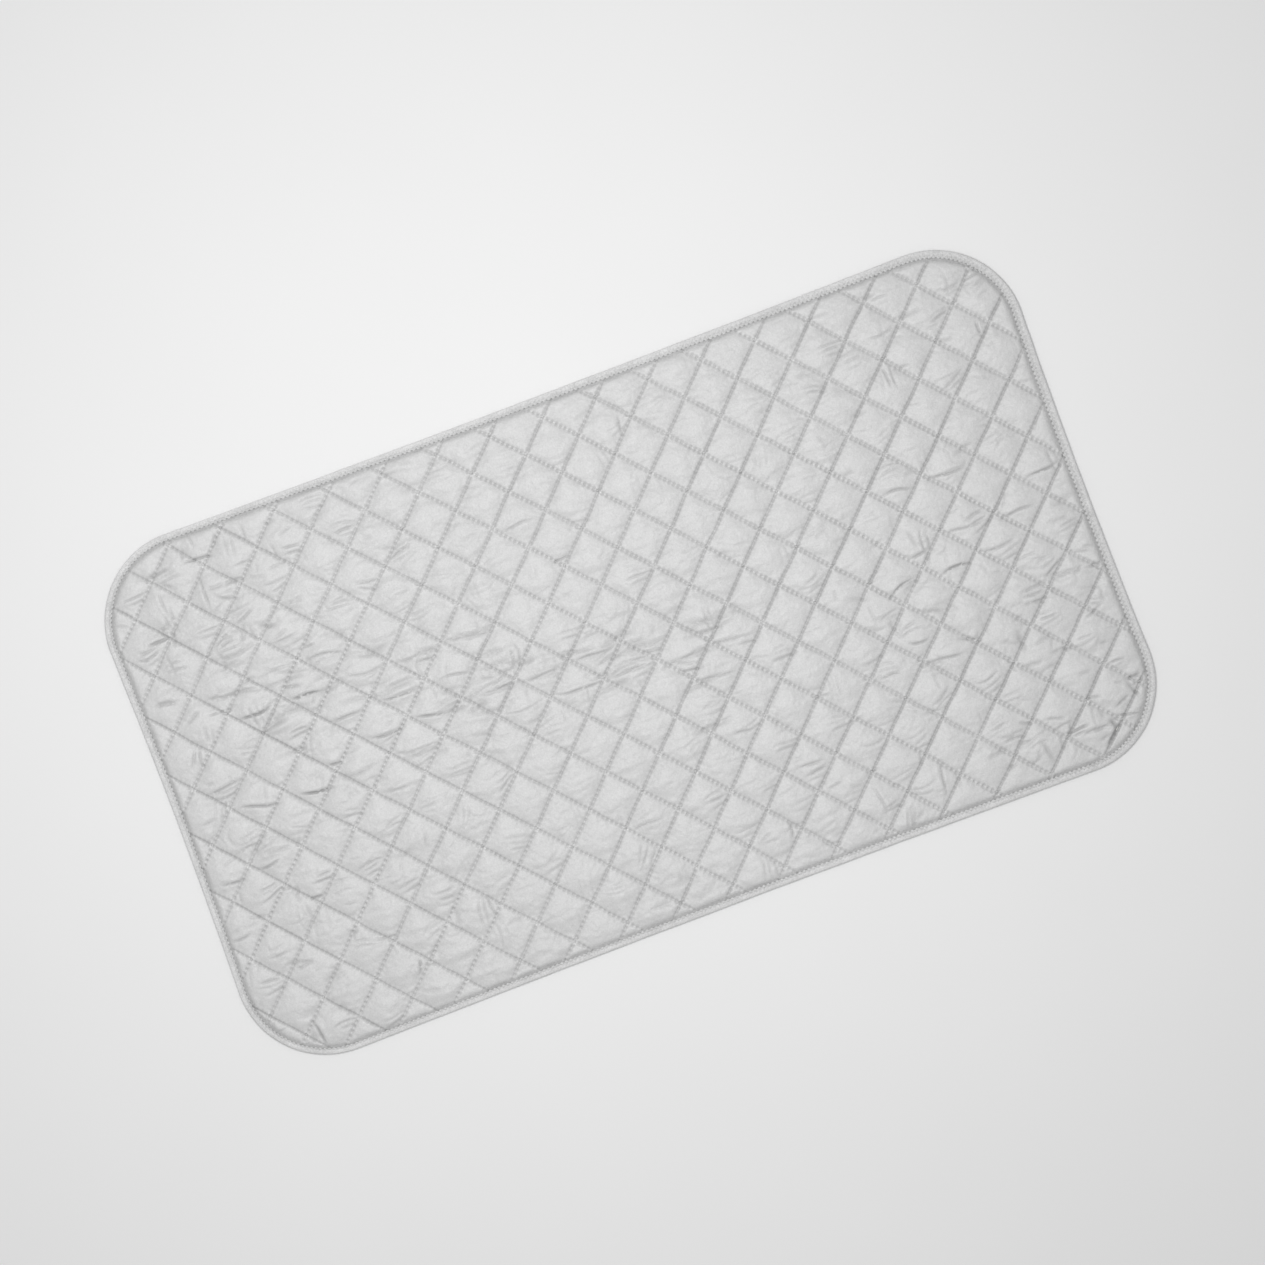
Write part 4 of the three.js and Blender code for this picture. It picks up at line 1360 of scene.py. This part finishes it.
def tape_section():
    """The folded tape's section: how far in from the edge, how high, and how much of the seam's pull
    each point takes. Millimetres, clockwise from the tape's inner edge on the face."""
    top = BINDING_TOP / MM
    bead = top / 2
    width = sizes().binding_width / MM
    section = [(width, 3.50, 0), (width + 0.1, 3.75, 0.2), (width, 4.02, 0.4), (7.2, 4.10, 0.8)]
    section += [(6.2, 4.10, 1), (5.2, 4.08, 1), (4.4, 4.12, 1), (3.8, 4.30, 0.7), (3.2, top - 0.06, 0.3)]
    for step in range(9):
        angle = math.pi * step / 8
        section.append((bead - bead * math.sin(angle), bead + bead * math.cos(angle), 0))
    section += [(3.4, 0.0, 0), (3.9, 0.28, 0), (4.6, 0.48, 0), (width, 0.5, 0), (width, 0.98, 0)]
    section += [(3.0, 1.0, 0), (2.4, 1.5, 0), (2.4, 3.0, 0), (3.0, 3.50, 0)]
    return section


class IRONINGPAD_OT_binding(bpy.types.Operator):
    """Make the folded tape round the edge and the zigzag stitches that hold it"""

    bl_idname = "ironing_pad.binding"
    bl_label = "Edge Binding"

    def execute(self, context):
        self.make_tape()
        self.make_zigzag("binding_zigzag", "binding_needle_thread", ZIGZAG_Z, 1)
        self.make_zigzag("binding_zigzag_under", "binding_bobbin_thread", ZIGZAG_UNDER_Z, -1)
        return {"FINISHED"}

    def make_tape(self):
        """The tape itself, with what its material needs to draw the needle holes on it."""
        pitch = sizes().zigzag_pitch
        places, inward, run, total = edge_path(pitch / STEPS_PER_ZIGZAG)
        section = tape_section()
        zigzags = round(total / pitch) * run / total
        loops = self.tape_loops(section, places, inward, run, total)
        count = len(places)
        steps = np.arange(count)
        after = (steps + 1) % count
        faces = []
        for corner in range(len(section)):
            here = corner * count
            beside = (corner + 1) % len(section) * count
            faces.append(np.stack([here + steps, beside + steps, beside + after, here + after], 1))
        points = np.vstack(loops)
        piece = new_piece("binding_tape", points, np.vstack(faces), shared(tape_material))
        # The part of the tape below the pad has no needle holes drawn on it, so it counts as the edge
        insets = np.repeat([inset if z > BINDING_TOP / MM / 2 else 0 for inset, z, _ in section], count)
        zigzags = np.tile(zigzags, len(section))
        give_numbers(piece, "edge", np.column_stack([zigzags, insets, np.zeros(len(insets))]))
        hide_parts("edge_binding")

    def tape_loops(self, section, places, inward, run, total):
        """The points of the tape, one loop round the pad for each point of its section. Each stitch pulls
        the tape down a little, and its fold and inner edge waver."""
        narrowed = narrowing_at(places)
        phase = 2 * math.pi * round(total / sizes().zigzag_pitch) * run / total
        # Noise read round a circle about as long as the tape meets itself at the end
        ring = np.column_stack([np.cos(2 * math.pi * run / total), np.sin(2 * math.pi * run / total)])
        wave = soft_noise(ring * total / 6.28, 0.016, 21)
        waver = soft_noise(ring * total / 6.28, 0.05, 22)
        loops = []
        for inset, z, pull in section:
            depth = MM * (inset + max(inset - FOLD_REACH, 0) * narrowed)
            # The inner row of holes pulls the tape down half a zigzag later than the outer one
            lean = math.pi * (inset - 4.4) / 3.2
            sink = pull * (0.22 * np.cos(phase - lean) + 0.14 * wave - 0.08)
            out = 0.0
            if inset < FOLD_REACH:
                out = (0.16 * np.cos(phase) + 0.14 * wave + 0.12 * waver) * (1 - inset / FOLD_REACH)
            if inset > INNER_EDGE:
                out = 0.30 * np.cos(phase - math.pi) + 0.30 * wave
            flat = places + inward * (depth - MM * out)[:, None]
            loops.append(np.column_stack([drawn_in(flat), MM * np.maximum(z + sink, 0)]))
        return loops

    def make_zigzag(self, name, node, z, up):
        """The zigzag stitches on one side of the pad, as one piece."""
        s = sizes()
        places, inward, _, _ = edge_path(s.zigzag_pitch / 2)
        count = len(places) - len(places) % 2
        depth = np.where(np.arange(count) % 2 == 0, ZIGZAG_OUTER, ZIGZAG_INNER)
        depth = depth + (depth - MM * FOLD_REACH) * narrowing_at(places[:count])
        holes = drawn_in(places[:count] + inward[:count] * depth[:, None])
        holes = np.column_stack([holes, np.full(count, z)])
        radius = ZIGZAG_THREAD * s.thread_radius
        points, faces = stitch_mesh(holes, np.roll(holes, -1, axis=0), up, radius)
        piece = new_piece(name, points, faces, shared(thread_material))
        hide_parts(node)


class IRONINGPAD_OT_magnets(bpy.types.Operator):
    """Give the sewn-in corner magnets their nickel plate"""

    bl_idname = "ironing_pad.magnets"
    bl_label = "Corner Magnets"

    def execute(self, context):
        for name in MAGNETS:
            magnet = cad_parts[name]
            for place in magnet.material_slots:
                place.material = shared(magnet_material)
        return {"FINISHED"}


# Stage

VIEW_WIDTH = 1.1056  # what the camera's frame takes in at the pad
VIEW_TURN = math.radians(20.65)  # the pad's long side rises this much to the right
VIEW_SHIFT = (0.00193, 0.01717)  # of the pad's middle, left of and below the middle of the view
LENS = 135.0
SENSOR = 36.0
FLOOR_HALF = 4.0
FLOOR_Z = -0.0002
ROOM_LIGHT = 0.58
LAMP_PLACE = (-0.07, 0.20, 1.3)
LAMP_SIZE = 0.45
LAMP_POWER = 8.3


class IRONINGPAD_OT_stage(bpy.types.Operator):
    """Make the floor, the lamp and the camera that looks straight down"""

    bl_idname = "ironing_pad.stage"
    bl_label = "Stage"

    def execute(self, context):
        corners = [(-FLOOR_HALF, -FLOOR_HALF), (FLOOR_HALF, -FLOOR_HALF)]
        corners += [(FLOOR_HALF, FLOOR_HALF), (-FLOOR_HALF, FLOOR_HALF)]
        mesh = bpy.data.meshes.new("floor")
        mesh.from_pydata([(x, y, FLOOR_Z) for x, y in corners], [], [(0, 1, 2, 3)])
        mesh.materials.append(shared(floor_material))
        floor = bpy.data.objects.new("floor", mesh)
        context.scene.collection.objects.link(floor)
        self.light(context.scene)
        self.camera(context.scene)
        context.scene.view_settings.view_transform = "Standard"
        return {"FINISHED"}

    def light(self, scene):
        """An even room, and a soft round window high over the back of the pad."""
        world = bpy.data.worlds.new("Soft room")
        scene.world = world
        world.use_nodes = True
        background = world.node_tree.nodes["Background"]
        background.inputs["Color"].default_value = (1, 1, 1, 1)
        background.inputs["Strength"].default_value = ROOM_LIGHT
        lamp = bpy.data.lights.new("window", "AREA")
        lamp.shape = "DISK"
        lamp.size = LAMP_SIZE
        lamp.energy = LAMP_POWER
        window = bpy.data.objects.new("window", lamp)
        window.location = LAMP_PLACE
        scene.collection.objects.link(window)

    def camera(self, scene):
        """A camera straight above the pad, turned so that its long side rises to the right."""
        data = bpy.data.cameras.new("camera")
        data.lens = LENS
        data.sensor_width = SENSOR
        camera = bpy.data.objects.new("camera", data)
        right = np.array([math.cos(VIEW_TURN), -math.sin(VIEW_TURN)])
        ahead = np.array([math.sin(VIEW_TURN), math.cos(VIEW_TURN)])
        middle = VIEW_SHIFT[0] * right + VIEW_SHIFT[1] * ahead
        camera.location = (middle[0], middle[1], VIEW_WIDTH * LENS / SENSOR + FACE_SEAM_Z)
        camera.rotation_euler = (0, 0, -VIEW_TURN)
        data.clip_start = 0.1
        data.clip_end = 50
        scene.collection.objects.link(camera)
        scene.camera = camera


class IRONINGPAD_PT_panel(bpy.types.Panel):
    """Sizes, colours and pieces of the ironing pad"""

    bl_label = "Ironing Pad"
    bl_space_type = "VIEW_3D"
    bl_region_type = "UI"
    bl_category = "Ironing Pad"

    def draw(self, context):
        for operator in OPERATORS:
            self.layout.operator(operator.bl_idname)
        for settings in (context.scene.ironing_pad_sizes, context.scene.ironing_pad_colours):
            box = self.layout.box()
            for name in settings.__annotations__:
                box.prop(settings, name)


OPERATORS = (
    IRONINGPAD_OT_face,
    IRONINGPAD_OT_backing,
    IRONINGPAD_OT_wadding,
    IRONINGPAD_OT_quilting,
    IRONINGPAD_OT_binding,
    IRONINGPAD_OT_magnets,
    IRONINGPAD_OT_stage,
)
CLASSES = (IroningPadSizes, IroningPadColours, *OPERATORS, IRONINGPAD_PT_panel)


def register():
    for cls in CLASSES:
        bpy.utils.register_class(cls)
    bpy.types.Scene.ironing_pad_sizes = PointerProperty(type=IroningPadSizes)
    bpy.types.Scene.ironing_pad_colours = PointerProperty(type=IroningPadColours)


def unregister():
    del bpy.types.Scene.ironing_pad_sizes
    del bpy.types.Scene.ironing_pad_colours
    for cls in reversed(CLASSES):
        bpy.utils.unregister_class(cls)


def main():
    """Makes every piece and the stage."""
    register()
    for operator in OPERATORS:
        space, name = operator.bl_idname.split(".")
        getattr(getattr(bpy.ops, space), name)()


if __name__ == "__main__":
    main()
